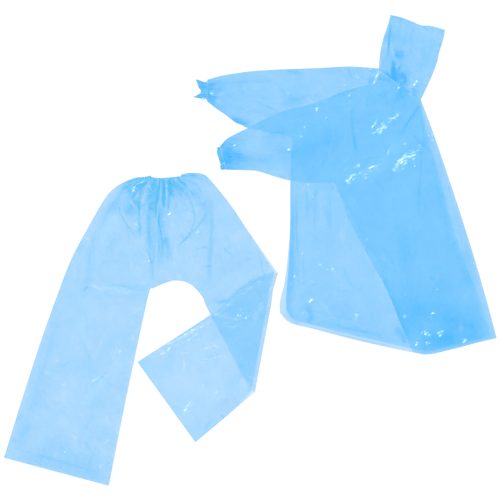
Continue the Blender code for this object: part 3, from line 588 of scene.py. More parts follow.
# A glint below with negative layers draws the film lighter: painted highlight
RIGHT_SLEEVE_FOLDS = folds([
    (0, 36, 0.34, 0, 104, 509, 156, 526, 216, 547),
    (0.33, 10, 0.41, 0, -145, 523, -117, 495, -64, 463, -12, 432),
    (0, 70, 0.3, 0, -124, 544, -1, 544),
    (0.2, 7, 0, 0.25, 326, 573, 340, 575),
    (0.2, 7, 0, 0.3, 361, 608, 384, 609),
    (0.98, 7, 0, 0.15, 300, 632, 316, 634),
    (0.2, 9, -0.07, 0.75, -139, 545, -128, 551),
    (0.52, 22, 0.42, 0, -153, 586, -150, 554, -153, 526),
    (-0.65, 7, 0.88, 0, -127, 537, -120, 528),
    (-0.52, 8, 0.31, 0, -159, 558, -141, 537, -127, 512),
    (0.78, 18, 0.17, 0, -85, 582, -1, 596, 104, 596),
    (0.78, 16, 0.2, 0, -85, 512, -15, 491, 41, 484),
    (-0.72, 7, 0.34, 0, 6, 523, 41, 509, 76, 495, 107, 481),
    (0, 24, 0.85, 0, -71, 460, -36, 449, -1, 439),
    (0.91, 6, 0, 0.15, -19, 481, -8, 488),
    (0.78, 12, 0.27, 0.1, 401, 645, 426, 631, 450, 617),
])
# Ridges and glints below with negative layers draw the film lighter: painted highlight
COAT_UNDER_FOLDS = folds([
    (0, 26, 0.77, 0, 408, 586, 440, 596, 475, 603),
    (0, 24, 0.72, 0, 510, -261, 531, -296, 548, -331),
    (0, 24, 0.3, 0, 202, 222, 258, 222, 307, 222),
    (0, 90, 0.17, 0, 174, -174, 331, -216, 489, -265),
    (1.04, 6, 0.48, 0.05, 163, 253, 162, 124, 163, 36, 170, -69, 172, -146),
    (0.98, 5, 0.37, 0.05, 184, 1, 186, -69, 186, -156),
    (0.78, 26, 0.59, 0, 146, 211, 144, 71, 142, -69, 139, -191),
    (0.52, 20, 0.34, 0, 135, -104, 132, -174, 139, -216, 160, -237),
    (0.91, 9, 0.27, 0, 226, 225, 223, 64),
    (0.91, 8, 0.31, 0, 195, 232, 198, 99),
    (0.85, 11, 0.24, 0, 279, 225, 275, 64),
    (0.65, 8, -0.14, 0, 251, 211, 247, 85),
    (0.2, 7, 0, 0.35, 225, -4, 239, -8),
    (0.2, 8, 0, 0.55, 230, -46, 251, -57),
    (0.2, 6, 0, 0.35, 258, -62, 272, -65),
    (0.2, 8, 0, 0.5, 282, -71, 296, -68),
    (0.2, 8, 0, 0.6, 363, -254, 370, -237, 377, -221),
    (0.2, 7, 0, 0.4, 524, -328, 531, -323),
    (0.52, 22, 0.21, 0, 139, -205, 174, -225, 279, -256, 426, -296, 541, -331),
    (0.52, 6, 0.14, 0, 174, -202, 279, -223, 426, -261, 506, -286),
    (0.2, 7, 0, 0.35, 204, -163, 204, -184),
    (0.2, 7, 0, 0.25, 211, -174, 225, -170),
    (0.2, 7, 0, 0.35, 183, -226, 195, -219),
    (0.91, 16, 0.14, 0, 237, -114, 321, -139, 405, -132),
    (0.65, 14, 0.17, 0, 139, -237, 279, -265, 426, -286, 541, -324),
    # The thin white line at the hood's face edge: fewer layers draw it lighter, a painted
    # highlight besides the facets' real glint
    (0.2, 4.5, -0.88, 1.2, 451, 633, 441, 603, 429, 572),
    (0, 16, 0.88, 0, 464, 607, 492, 589, 520, 568),
])
# Ridges and glints below with negative layers draw the film lighter: painted highlight
HOOD_FOLDS = folds([
    (0, 15, 1.22, 0, 489, 607, 503, 589),
    (0.2, 19, 0.61, 0, 503, 694, 517, 680, 541, 687),
    (0.2, 16, 0.75, 0, 520, 624, 538, 603, 555, 572),
    (0.33, 5, 0.61, 0, 468, 593, 485, 600, 499, 600),
    (0.33, 5, 0.61, 0, 475, 617, 489, 608, 503, 596),
    (0.33, 5, 0.54, 0, 510, 631, 506, 614, 506, 593),
    (0.33, 5, 0.48, 0, 527, 621, 515, 607, 508, 593),
    (-0.52, 7, 0.75, 0, 494, 806, 488, 757, 485, 708, 480, 673),
    (0.85, 4.5, -0.48, 0, 494, 750, 495, 712, 503, 680, 515, 649),
    (-0.39, 10, 0.41, 0, 510, 708, 517, 673),
    (-0.33, 8, 0.34, 0, 517, 691, 541, 698),
    (0.52, 16, 1.09, 0, 499, 673, 501, 635, 503, 596),
    (0.52, 10, 0.48, 0, 468, 610, 496, 607, 520, 589),
    (0.52, 9, 0.48, 0, 531, 659, 517, 628, 505, 596),
    (0.52, 10, 0.41, 0, 471, 631, 487, 610, 506, 593),
    (0.52, 8, 0.34, 0, 541, 628, 524, 607, 510, 589),
    (0.52, 8, 0.41, 0, 468, 600, 489, 596, 513, 586),
    (-0.52, 11, 2.99, 0, 500, 642, 504, 593),
    (-0.52, 12, 0.41, 0, 506, 582, 524, 561, 531, 540),
    (0.78, 4, -0.2, 0.06, 527, 586, 534, 598, 545, 591, 545, 572),
    (-0.65, 6, 0.41, 0, 538, 596, 545, 582, 552, 561),
    (0.52, 5, 0.2, 0, 482, 624, 489, 635, 496, 642),
    (0.2, 6, 0, 0.5, 568, 575, 578, 582),
    (0.2, 5, 0, 0.35, 575, 593, 585, 596),
    (0.2, 6, -0.1, 0.25, 552, 582, 573, 575, 597, 554),
    (0, 12, 0.51, 0, 492, 817, 517, 815, 538, 806),
    (0, 70, 0.34, 0, 496, 771, 531, 666, 552, 575),
    (0, 16, -0.2, 0, 552, 792, 601, 771, 664, 754),
    (0, 10, 0.27, 0, 667, 768, 681, 768),
    (0.65, 18, 0.14, 0, 650, 757, 622, 694, 594, 631),
    (0.52, 14, 0.1, 0, 552, 771, 559, 715, 552, 666),
])
LOWER_HOOD_FOLDS = folds([
    (0, 36, 0.64, 0, 489, 799, 471, 729, 461, 673, 459, 631),
])


# Curves and panels

def curve_through(points, samples=24):
    """A close run of points on a smooth curve through the given ones."""
    known = np.array(points, dtype=float)
    if len(known) < 3:
        return known
    ends = np.vstack([2 * known[0] - known[1], known, 2 * known[-1] - known[-2]])
    run = []
    for before, start, stop, after in zip(ends, ends[1:], ends[2:], ends[3:]):
        for t in np.linspace(0, 1, samples, endpoint=False):
            run.append(0.5 * (2 * start + (stop - before) * t
                              + (2 * before - 5 * start + 4 * stop - after) * t ** 2
                              + (3 * start - before - 3 * stop + after) * t ** 3))
    run.append(known[-1])
    return np.array(run)


def shares(edge):
    """How far along the edge each point is, from 0 to 1."""
    steps = np.hypot(*np.diff(edge, axis=0).T)
    return np.concatenate([[0.0], np.cumsum(steps)]) / steps.sum()


def at_fractions(points, fractions):
    """Points at these shares of the length of the smooth curve through the given ones."""
    run = curve_through(points)
    return np.column_stack([np.interp(fractions, shares(run), run[:, axis]) for axis in (0, 1)])


def evenly(points, count):
    return at_fractions(points, np.linspace(0, 1, count + 1))


def joined(first, second):
    """Two sampled edges that meet in a corner, as one."""
    return np.vstack([first, second[1:]])


def edge_length(points):
    return float(np.hypot(*np.diff(curve_through(points), axis=0).T).sum())


def cells(length, cell):
    """How many cells of about this size a length takes."""
    return max(FEWEST_CELLS, int(round(length / cell)))


def cornered(start, corner, stop, cell):
    """An edge of two straight runs, cut into cells."""
    return joined(*(evenly(run, cells(math.dist(*run), cell))
                    for run in ([start, corner], [corner, stop])))


def patch(near, far, start, stop):
    """A grid of x, y points filled in between four sampled edges.

    Row 0 is near, the last row is far, column 0 is start and the last column is stop.
    """
    v = np.linspace(0, 1, len(start))[:, None, None]
    u = ((shares(near) + shares(far)) / 2)[None, :, None]
    across = (1 - v) * near[None] + v * far[None]
    along = (1 - u) * start[:, None] + u * stop[:, None]
    corners = ((1 - u) * (1 - v) * near[0] + u * (1 - v) * near[-1]
               + (1 - u) * v * far[0] + u * v * far[-1])
    return across + along - corners


def outward_normals(line, inside):
    run = np.gradient(line, axis=0)
    normal = np.column_stack([run[:, 1], -run[:, 0]])
    normal /= np.hypot(*normal.T)[:, None]
    away = line.mean(axis=0) - np.array(inside, dtype=float)
    return normal * np.sign(np.dot(normal.mean(axis=0), away))


def mirrored(plan, first, second):
    """Where the points would lie if the film were unfolded about a line."""
    way = np.subtract(second, first) / math.dist(first, second)
    along = (plan - first) @ way
    return 2 * (first + along[..., None] * way) - plan


def plan_area(plan):
    """The area of a grid of x, y points, in square metres."""
    a = plan[1:, 1:] - plan[:-1, :-1]
    b = plan[:-1, 1:] - plan[1:, :-1]
    return float(np.abs(a[..., 0] * b[..., 1] - a[..., 1] * b[..., 0]).sum() / 2) * MM * MM


# Heights

def eased(share):
    share = np.clip(share, 0, 1)
    return share * share * (3 - 2 * share)


def swell_height(plan, swells):
    """Soft mounds that fade to nothing at the ends and sides of each swell."""
    total = np.zeros(plan.shape[:2])
    for swell in swells:
        turn = math.radians(swell.angle)
        x, y = plan[..., 0] - swell.x, plan[..., 1] - swell.y
        along = x * math.cos(turn) + y * math.sin(turn)
        across = y * math.cos(turn) - x * math.sin(turn)
        reach = np.hypot(2 * along / swell.length, 2 * across / swell.width)
        total += swell.height * np.cos(np.minimum(reach, 1) * math.pi / 2) ** 2
    return total


def distance_beyond(plan, first, second, side):
    """How far a point is from the line through two points, on the side of a third."""
    run = np.subtract(second, first) / math.dist(first, second)
    normal = np.array([-run[1], run[0]])
    normal *= np.sign(np.dot(normal, np.subtract(side, first)))
    return (plan[..., 0] - first[0]) * normal[0] + (plan[..., 1] - first[1]) * normal[1]


def kept_up(past):
    """The share of its height that film keeps this far past the layers below it."""
    return 1 - eased((past - STAY_UP) / SETTLE)


def left_sleeve_base(plan):
    """The folded sleeve lies on the coat and the other sleeve, and past them on the floor."""
    below_sleeve = distance_beyond(plan, RIGHT_ARMPIT, RIGHT_SLEEVE_UNDER[-2],
                                   side=LEFT_SLEEVE_UNDER[-1])
    past = np.minimum(RIGHT_ARMPIT[0] - plan[..., 0], below_sleeve)
    return FRONT_OVER * kept_up(past) + swell_height(plan, COAT_SWELLS)


def flap_base(plan):
    """The folded leg lies on the same leg's upper part, and past it on the floor."""
    return FRONT_OVER * kept_up(distance_beyond(plan, LEFT_LEG_INNER[-2], LEFT_LEG_INNER[-1],
                                                side=FLAP_OUTER[-1]))


def pillow(plan):
    across = np.sin(np.linspace(0, math.pi, plan.shape[0]))[:, None]
    along = np.sin(np.linspace(0, math.pi, plan.shape[1]))[None, :]
    return TOP_LAYER_PILLOW * np.sqrt(across * along)


# Creases and pleats

def creased(plan, creases):
    """Height, extra layers and crumpling that these creases give at each point."""
    x, y = plan[..., 0], plan[..., 1]
    height, layers, gleam = np.zeros((3, *x.shape))
    for fold in creases:
        line = curve_through(fold.points, CREASE_SAMPLES)
        low, high = line.min(axis=0) - fold.width, line.max(axis=0) + fold.width
        near = (x > low[0]) & (x < high[0]) & (y > low[1]) & (y < high[1])
        if not near.any():
            continue
        px, py = x[near], y[near]
        best = np.full(px.shape, np.inf)
        place = np.zeros(px.shape)
        run = np.hypot(*np.diff(line, axis=0).T)
        start = np.concatenate([[0.0], np.cumsum(run)])
        for k in range(len(run)):
            way = (line[k + 1] - line[k]) / run[k]
            along = np.clip((px - line[k, 0]) * way[0] + (py - line[k, 1]) * way[1], 0, run[k])
            off = np.hypot(px - line[k, 0] - along * way[0], py - line[k, 1] - along * way[1])
            nearer = off < best
            best[nearer] = off[nearer]
            place[nearer] = start[k] + along[nearer]
        share = place / start[-1]
        ends = eased(np.minimum(share, 1 - share) / END_FADE + END_LEFT)
        crest = np.clip(1 - best / fold.width, 0, 1)
        height[near] += fold.height * ends * crest ** RIDGE_FALL
        # Negative layers on a ridge or a glint lighten its film there: painted highlight
        layers[near] += fold.layers * ends * crest ** LAYERS_FALL
        gleam[near] = np.maximum(gleam[near], fold.gleam * ends * np.sqrt(crest))
    return height, layers, gleam


def strewn(plan, chances, seed):
    """Creases strewn over a sheet by chance, the same ones each time."""
    creases = []
    for chance in chances:
        draw = np.random.default_rng(SHEET_SEEDS * seed + chance.seed)
        for _ in range(int(chance.density * plan_area(plan))):
            middle = plan[draw.integers(plan.shape[0]), draw.integers(plan.shape[1])]
            turn = math.radians(chance.angle + draw.normal() * chance.spread)
            half = chance.length * draw.uniform(*STREWN_LENGTH) / 2
            bow = half * draw.normal() * STREWN_BOW
            way = np.array([math.cos(turn), math.sin(turn)])
            side = np.array([-way[1], way[0]])
            height = chance.height * draw.uniform(*STREWN_HEIGHT) * draw.choice(STREWN_SIGNS)
            creases.append(Fold([middle - half * way, middle + bow * side, middle + half * way],
                                height, chance.width * draw.uniform(*STREWN_WIDTH),
                                chance.layers * draw.normal(), chance.gleam * draw.random()))
    return creases


def dressed(plan, base, creases, chances, seed):
    """A level sheet with its creases: heights, extra layers and crumpling."""
    height, layers, gleam = creased(plan, creases + strewn(plan, chances, seed))
    return np.maximum(base + height, LOWEST), layers, gleam


def gathered(grid, gather):
    """Uneven pleats from row 0 of the sheet on, as height and extra layers."""
    draw = np.random.default_rng(gather.seed)
    step = np.hypot(*np.moveaxis(np.diff(grid, axis=0), 2, 0))
    gone = np.concatenate([np.zeros((1, grid.shape[1])), np.cumsum(step, axis=0)])
    u = shares(grid[0])[None, :]
    height, layers = np.zeros((2, *gone.shape))
    for k in range(gather.count):
        middle = (k + 0.5 + draw.uniform(-PLEAT_STRAY, PLEAT_STRAY)) / gather.count
        width = draw.uniform(*PLEAT_WIDTH) / gather.count
        fade = gather.fade * draw.uniform(*PLEAT_LENGTH)
        lean = draw.uniform(-PLEAT_LEAN, PLEAT_LEAN) / gather.count
        crest = np.exp(-((u - middle - lean * gone / gather.fade) / width) ** 2)
        left = 1 - eased(gone / fade)
        height += gather.height * draw.uniform(*PLEAT_HEIGHT) * crest * left
        layers += gather.layers * draw.uniform(*PLEAT_LAYERS) * crest * left
    crowd = gather.crowd * np.exp(-((u - gather.middle) / CROWD_SHARE) ** 2)
    layers += crowd * (1 - eased(gone / gather.reach))
    return height, layers


def from_columns(plan, gather, last=False):
    """Pleats that start at the first or the last column of a grid."""
    way = -1 if last else 1
    height, layers = gathered(np.swapaxes(plan, 0, 1)[::way], gather)
    return height[::way].T, layers[::way].T


# Film sheets

def film_grid(plan, height):
    return np.dstack([plan, np.broadcast_to(height, plan.shape[:2])])


def film_piece(node, points, cut, layers, gleam, material, closed=False):
    """One sheet of film on a grid of points, which stands for its node.

    The cut says where each point lies on the flat film. A closed sheet runs all round a tube.
    """
    index = np.arange(points.shape[0] * points.shape[1]).reshape(points.shape[:2])
    after = np.roll(index, -1, axis=1)
    if not closed:
        index, after = index[:, :-1], after[:, :-1]
    corners = np.stack([index[:-1], after[:-1], after[1:], index[1:]], axis=-1).reshape(-1, 4)
    points = points.reshape(-1, 3)
    a, b, c = (points[corners[:, k]] for k in range(3))
    if np.cross(b - a, c - a)[:, 2].sum() < 0:
        corners = corners[:, ::-1]
    mesh = bpy.data.meshes.new("film_" + node)
    mesh.vertices.add(len(points))
    mesh.vertices.foreach_set("co", (points * MM).ravel())
    mesh.loops.add(corners.size)
    mesh.loops.foreach_set("vertex_index", corners.ravel().astype(np.int32))
    mesh.polygons.add(len(corners))
    mesh.polygons.foreach_set("loop_start", np.arange(0, corners.size, 4, dtype=np.int32))
    mesh.polygons.foreach_set("use_smooth", np.ones(len(corners), dtype=bool))
    mesh.update(calc_edges=True)
    flat = cut.reshape(-1, 2) - cut.min(axis=(0, 1))
    layer = mesh.uv_layers.new(name="cut")
    layer.data.foreach_set("uv", (flat / flat.max())[corners.ravel()].ravel())
    place = np.column_stack([flat * MM, np.zeros(len(flat))])
    for name, kind, key, values in (("place", "FLOAT_VECTOR", "vector", place),
                                    ("layers", "FLOAT", "value", layers),
                                    ("gleam", "FLOAT", "value", gleam)):
        mesh.attributes.new(name, kind, "POINT").data.foreach_set(key, values.ravel())
    mesh.materials.append(material)
    item = bpy.data.objects.new("film_" + node, mesh)
    bpy.context.scene.collection.objects.link(item)
    item.visible_shadow = False
    item.visible_diffuse = False
    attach(item, "root")
    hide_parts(node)


def laid_sheet(node, plan, base, material, creases, chances, seed, pleats=(0, 0)):
    height, layers, gleam = dressed(plan, base, creases, chances, seed)
    film_piece(node, film_grid(plan, height + pleats[0]), plan, layers + pleats[1], gleam,
               material)


def rim_share(plan, column):
    """1 at the fold's column of a grid, fading to 0 a rim's width away from it."""
    gone = np.hypot(*np.moveaxis(plan - plan[:, column][:, None], 2, 0))
    return 1 - eased(gone / RIM_WIDTH)


def bend(line, normals, radius):
    """The grid of points around a fold, at a radius from its axis, between its two ends."""
    columns = []
    for turn in math.pi * np.arange(1, BEND_STEPS) / BEND_STEPS:
        height = np.full(len(line), FOLD_AXIS - radius * math.cos(turn))
        columns.append(np.column_stack([line + radius * math.sin(turn) * normals, height]))
    return np.stack(columns, axis=1)


def folded_sheet(node, under, over, normals, lower, upper, rim, material):
    """One sheet that runs along the under grid, round the fold and back along the over one.

    Lower and upper are those grids' heights, layers and crumpling. The rim is the layers of
    film more or less along the fold.
    """
    line = under[:, -1]
    turn = bend(line, normals, FOLD_AXIS - lower[0][:, -1].mean())
    points = [film_grid(under, lower[0]), turn, film_grid(over, upper[0])]
    cut = [under, turn[..., :2], mirrored(over, line[0], line[-1])]
    layers = [lower[1] + rim * rim_share(under, -1), np.full(turn.shape[:2], rim),
              upper[1] + rim * rim_share(over, 0)]
    gleam = [lower[2], np.zeros(turn.shape[:2]), upper[2]]
    film_piece(node, *(np.concatenate(parts, axis=1) for parts in (points, cut, layers, gleam)),
               material)


# Coat

def coat_grids(side, hem, fold, over_side, over_hem, level, under_cell, over_cell):
    rows = cells(edge_length(fold), FINE)
    fold_line = evenly(fold, rows)
    normals = outward_normals(fold_line, inside=NECK_RIGHT)
    axis_line = fold_line - (FOLD_AXIS - level) * normals
    neck, corner = tuple(axis_line[0]), tuple(axis_line[-1])
    top = cornered(RIGHT_ARMPIT, NECK_RIGHT, neck, under_cell)
    under = patch(top, evenly(hem[:-1] + [corner], len(top) - 1), evenly(side, rows), axis_line)
    top = cornered(neck, NECK_FOLDED, LEFT_ARMPIT, over_cell)
    over = patch(top, evenly([corner] + over_hem[-2::-1], len(top) - 1), axis_line,
                 evenly(over_side, rows))
    return under, over, normals


def build_coat_body(film):
    under, over, normals = coat_grids(COAT_SIDE, COAT_HEM, COAT_FOLD, OVER_SIDE, OVER_HEM,
                                      BACK_UNDER, COARSE, FINE)
    lower = dressed(under, BACK_UNDER, COAT_BACK_FOLDS, LOWER_CREASES, seed=1)
    base = BACK_OVER + swell_height(over, COAT_SWELLS) + swell_height(over, OVER_SWELLS)
    height, layers, gleam = dressed(over, base + pillow(over), COAT_OVER_FOLDS, COAT_CREASES,
                                    seed=2)
    pleats, film_in_pleats = gathered(over, NECK_GATHER)
    top = edge_length([over[0, 0], NECK_FOLDED, LEFT_ARMPIT])
    past_neck = shares(over[0]) * top - math.dist(over[0, 0], NECK_FOLDED)
    window = 1 - eased((past_neck - NECK_PLEATS_PAST) / NECK_PLEATS_FADE)
    upper = (height + pleats * window, layers + film_in_pleats * window, gleam)
    folded_sheet("coat_back", under, over, normals, lower, upper, COAT_BACK_RIM, film)

    under, over, normals = coat_grids(FRONT_SIDE, FRONT_HEM, FRONT_FOLD, FRONT_OVER_SIDE,
                                      FRONT_OVER_HEM, FRONT_UNDER, FINE, COARSE)
    lower = dressed(under, FRONT_UNDER + swell_height(under, COAT_SWELLS), COAT_UNDER_FOLDS,
                    COAT_CREASES, seed=3)
    upper = dressed(over, FRONT_OVER + swell_height(over, COAT_SWELLS), [], LOWER_CREASES,
                    seed=4)
    folded_sheet("coat_front", under, over, normals, lower, upper, COAT_FRONT_RIM, film)


def sleeve_plan(top, under, cell):
    along = cells(edge_length(top), cell)
    across = cells(math.dist(top[0], under[0]), cell)
    return patch(evenly(top, along), evenly(under, along), evenly([top[0], under[0]], across),
                 evenly([top[-1], under[-1]], across))


def build_sleeves(film):
    plan = sleeve_plan(RIGHT_SLEEVE_TOP, RIGHT_SLEEVE_UNDER, COARSE)
    laid_sheet("coat_right_sleeve_back", plan, BACK_UNDER, film, [], LOWER_CREASES, seed=5)
    plan = sleeve_plan(RIGHT_SLEEVE_TOP, RIGHT_SLEEVE_UNDER, FINE)
    laid_sheet("coat_right_sleeve_front", plan, FRONT_UNDER + swell_height(plan, COAT_SWELLS),
               film, RIGHT_SLEEVE_FOLDS, SLEEVE_CREASES, seed=6,
               pleats=from_columns(plan, RIGHT_CUFF_GATHER, last=True))
    plan = sleeve_plan(LEFT_SLEEVE_TOP, LEFT_SLEEVE_UNDER, COARSE)
    laid_sheet("coat_left_sleeve_front", plan, left_sleeve_base(plan) + HALF_WALL, film, [],
               LOWER_CREASES, seed=7)
    plan = sleeve_plan(LEFT_SLEEVE_TOP, LEFT_SLEEVE_UNDER, FINE)
    base = left_sleeve_base(plan) + SECOND_WALL + swell_height(plan, LEFT_SLEEVE_SWELLS)
    laid_sheet("coat_left_sleeve_back", plan, base, film, LEFT_SLEEVE_FOLDS, SLEEVE_CREASES,
               seed=8, pleats=from_columns(plan, LEFT_CUFF_GATHER, last=True))


def hood_plan(face):
    along = cells(edge_length(HOOD_BACK), HOOD_CELL)
    across = cells(edge_length(HOOD_TOP), HOOD_CELL)
    run = np.subtract(NECK_LEFT, NECK_RIGHT) / math.dist(NECK_LEFT, NECK_RIGHT)
    lap = HOOD_LAP * np.array([run[1], -run[0]])
    neck = [tuple(NECK_RIGHT + lap), tuple(NECK_LEFT + lap)]
    return patch(evenly(face[:-1] + neck[:1], along), evenly(HOOD_BACK[:-1] + neck[1:], along),
                 evenly(HOOD_TOP, across), evenly(neck, across))


def build_hood(film):
    laid_sheet("hood_right_side", hood_plan(HOOD_FACE), BACK_UNDER, film, LOWER_HOOD_FOLDS,
               LOWER_CREASES, seed=9)
    plan = hood_plan(HOOD_UPPER_FACE)
    base = FRONT_UNDER + HOOD_SWELL_SHARE * swell_height(plan, HOOD_SWELLS)
    laid_sheet("hood_left_side", plan, base, film, HOOD_FOLDS, HOOD_CREASES, seed=10,
               pleats=from_columns(plan, HOOD_GATHER, last=True))


# Trousers

def right_leg_plan(cell):
    rise = cells(math.dist(RISE_TOP, CROTCH), cell)
    shin = cells(edge_length(RIGHT_LEG_INNER), cell)
    far = joined(evenly([RISE_TOP, CROTCH], rise), evenly(RIGHT_LEG_INNER, shin))
    outer = at_fractions(RIGHT_LEG_OUTER, np.linspace(0, 1, rise + shin + 1) ** LEG_CROWDING)
    hem = [RIGHT_LEG_OUTER[-1], RIGHT_LEG_INNER[-1]]
    across = cells(math.dist(*hem), cell)
    bulge = across // BULGE_SHARE
    waist = joined(evenly([BULGE_RIGHT, WAIST_RIGHT], bulge),
                   evenly([WAIST_RIGHT, RISE_TOP], across - bulge))
    return patch(outer, far, waist, evenly(hem, across))


def build_right_leg(film):
    laid_sheet("trousers_right_leg_back", right_leg_plan(COARSE), BACK_UNDER, film, [],
               LOWER_CREASES, seed=11)
    plan = right_leg_plan(FINE)
    base = FRONT_UNDER + swell_height(plan, RIGHT_LEG_SWELLS)
    laid_sheet("trousers_right_leg_front", plan, base, film, RIGHT_LEG_FOLDS, LEG_CREASES,
               seed=12, pleats=from_columns(plan, WAIST_RIGHT_GATHER))


def left_leg_grids(inset, level, under_cell, over_cell):
    rows = cells(edge_length(LEG_FOLD), FINE)
    fold_line = evenly(LEG_FOLD, rows)
    normals = outward_normals(fold_line, inside=CROTCH)
    axis_line = fold_line - (inset + FOLD_AXIS - level) * normals
    inner, outer = tuple(axis_line[0]), tuple(axis_line[-1])
    thigh = LEFT_LEG_INNER[:-1] + [inner]
    near = joined(evenly([RISE_TOP, CROTCH], cells(math.dist(RISE_TOP, CROTCH), under_cell)),
                  evenly(thigh, cells(edge_length(thigh), under_cell)))
    bulge = rows // BULGE_SHARE
    waist = joined(evenly([RISE_TOP, WAIST_LEFT], rows - bulge),
                   evenly([WAIST_LEFT, BULGE_LEFT], bulge))
    under = patch(near, evenly(LEFT_LEG_OUTER[:-1] + [outer], len(near) - 1), waist, axis_line)
    along = cells(edge_length(FLAP_OUTER), over_cell)
    over = patch(evenly([inner] + FLAP_INNER[1:], along), evenly([outer] + FLAP_OUTER[1:], along),
                 axis_line, evenly([FLAP_INNER[-1], FLAP_OUTER[-1]], rows))
    return under, over, normals


def build_left_leg(film):
    under, over, normals = left_leg_grids(BACK_FOLD_INSET, BACK_UNDER, COARSE, FINE)
    lower = dressed(under, BACK_UNDER, [], LOWER_CREASES, seed=13)
    base = flap_base(over) + SECOND_WALL + swell_height(over, FLAP_SWELLS) + pillow(over)
    upper = dressed(over, base, FLAP_FOLDS, LEG_CREASES, seed=14)
    folded_sheet("trousers_left_leg_back", under, over, normals, lower, upper, LEG_BACK_RIM, film)

    under, over, normals = left_leg_grids(FRONT_FOLD_INSET, FRONT_UNDER, FINE, COARSE)
    base = FRONT_UNDER + swell_height(under, LEFT_LEG_SWELLS)
    height, layers, gleam = dressed(under, base, LEFT_LEG_FOLDS, LEG_CREASES, seed=15)
    pleats, film_in_pleats = from_columns(under, WAIST_LEFT_GATHER)
    upper = dressed(over, flap_base(over) + HALF_WALL, [], LOWER_CREASES, seed=16)
    folded_sheet("trousers_left_leg_front", under, over, normals,
                 (height + pleats, layers + film_in_pleats, gleam), upper, LEG_FRONT_RIM, film)


# Cuffs and waist

def gathered_ring(node, start, stop, outwards, sections, frill, pleats, lap, seed, material):
    """A flattened tube of pleated film that continues a gathered edge and laps over its ends."""
    draw = np.random.default_rng(seed)
    middle = (np.array(start, dtype=float) + stop) / 2
    across = np.subtract(stop, start) / math.dist(start, stop)
    away = np.array([-across[1], across[0]])
    away *= np.sign(np.dot(away, outwards))
    turns = np.arange(RING_SAMPLES * pleats) * math.tau / (RING_SAMPLES * pleats)
    shape_x, shape_z = (np.sign(side) * np.abs(side) ** RING_SQUARENESS
                        for side in (np.cos(turns), np.sin(turns)))
    knots = np.linspace(0, math.tau, 2 * pleats + 1)
    jitter = np.append(draw.uniform(-RING_JITTER, RING_JITTER, 2 * pleats), 0)
    waves = 0.5 - 0.5 * np.cos(pleats * turns + np.interp(turns, knots, jitter))
    size = np.repeat(draw.uniform(*RING_PLEAT_SIZE, pleats), RING_SAMPLES)
    fray = np.interp(turns, knots, draw.uniform(-1, 1, 2 * pleats + 1))
    tip_reach = np.interp(shape_x, *frill)
    table = np.array(sections)
    last = len(sections) - 1
    rings = []
    for step in np.linspace(0, last, RING_ROWS):
        along, half_width, half_height, ripple, tip = (
            np.interp(step, np.arange(last + 1), column) for column in table.T)
        drop = HALF_WALL + ripple * RING_RIPPLE * waves * size
        run = SEAM_GAP + along + tip * tip_reach + RING_FRAY * fray * (step / last) ** FRAY_RISE
        plan = middle + np.outer(shape_x * (half_width + lap), across) + np.outer(run, away)
        z = half_height + shape_z * np.maximum(half_height - drop, RING_THINNEST)
        rings.append(np.column_stack([plan, z]))
    points = np.stack(rings)
    steps = np.linalg.norm(np.roll(points, -1, axis=1) - points, axis=2)
    around = np.concatenate([[0.0], np.cumsum(steps.mean(axis=0))[:-1]])
    along = np.linspace(0, table[-1, 0], RING_ROWS)
    cut = np.dstack(np.broadcast_arrays(around[None, :], along[:, None]))
    layers = RING_LAYERS * (RING_LEAST + (1 - RING_LEAST) * waves * size)
    film_piece(node, points, cut, np.broadcast_to(layers, points.shape[:2]),
               np.full(points.shape[:2], RING_GLEAM), material, closed=True)


def build_rings(coat_film, trouser_film):
    gathered_ring("coat_right_cuff", RIGHT_SLEEVE_TOP[-1], RIGHT_SLEEVE_UNDER[-1], (-1, 0),
                  RIGHT_CUFF, RIGHT_CUFF_FRILL, RIGHT_CUFF_PLEATS, CUFF_LAP, 31, coat_film)
    gathered_ring("coat_left_cuff", LEFT_SLEEVE_TOP[-1], LEFT_SLEEVE_UNDER[-1], (-1, 0),
                  LEFT_CUFF, LEFT_CUFF_FRILL, LEFT_CUFF_PLEATS, CUFF_LAP, 32, coat_film)
    gathered_ring("trousers_waist", WAIST_RING_START, WAIST_LEFT, (0, 1), WAIST, WAIST_FRILL,
                  WAIST_PLEATS, WAIST_LAP, 33, trouser_film)


# Materials

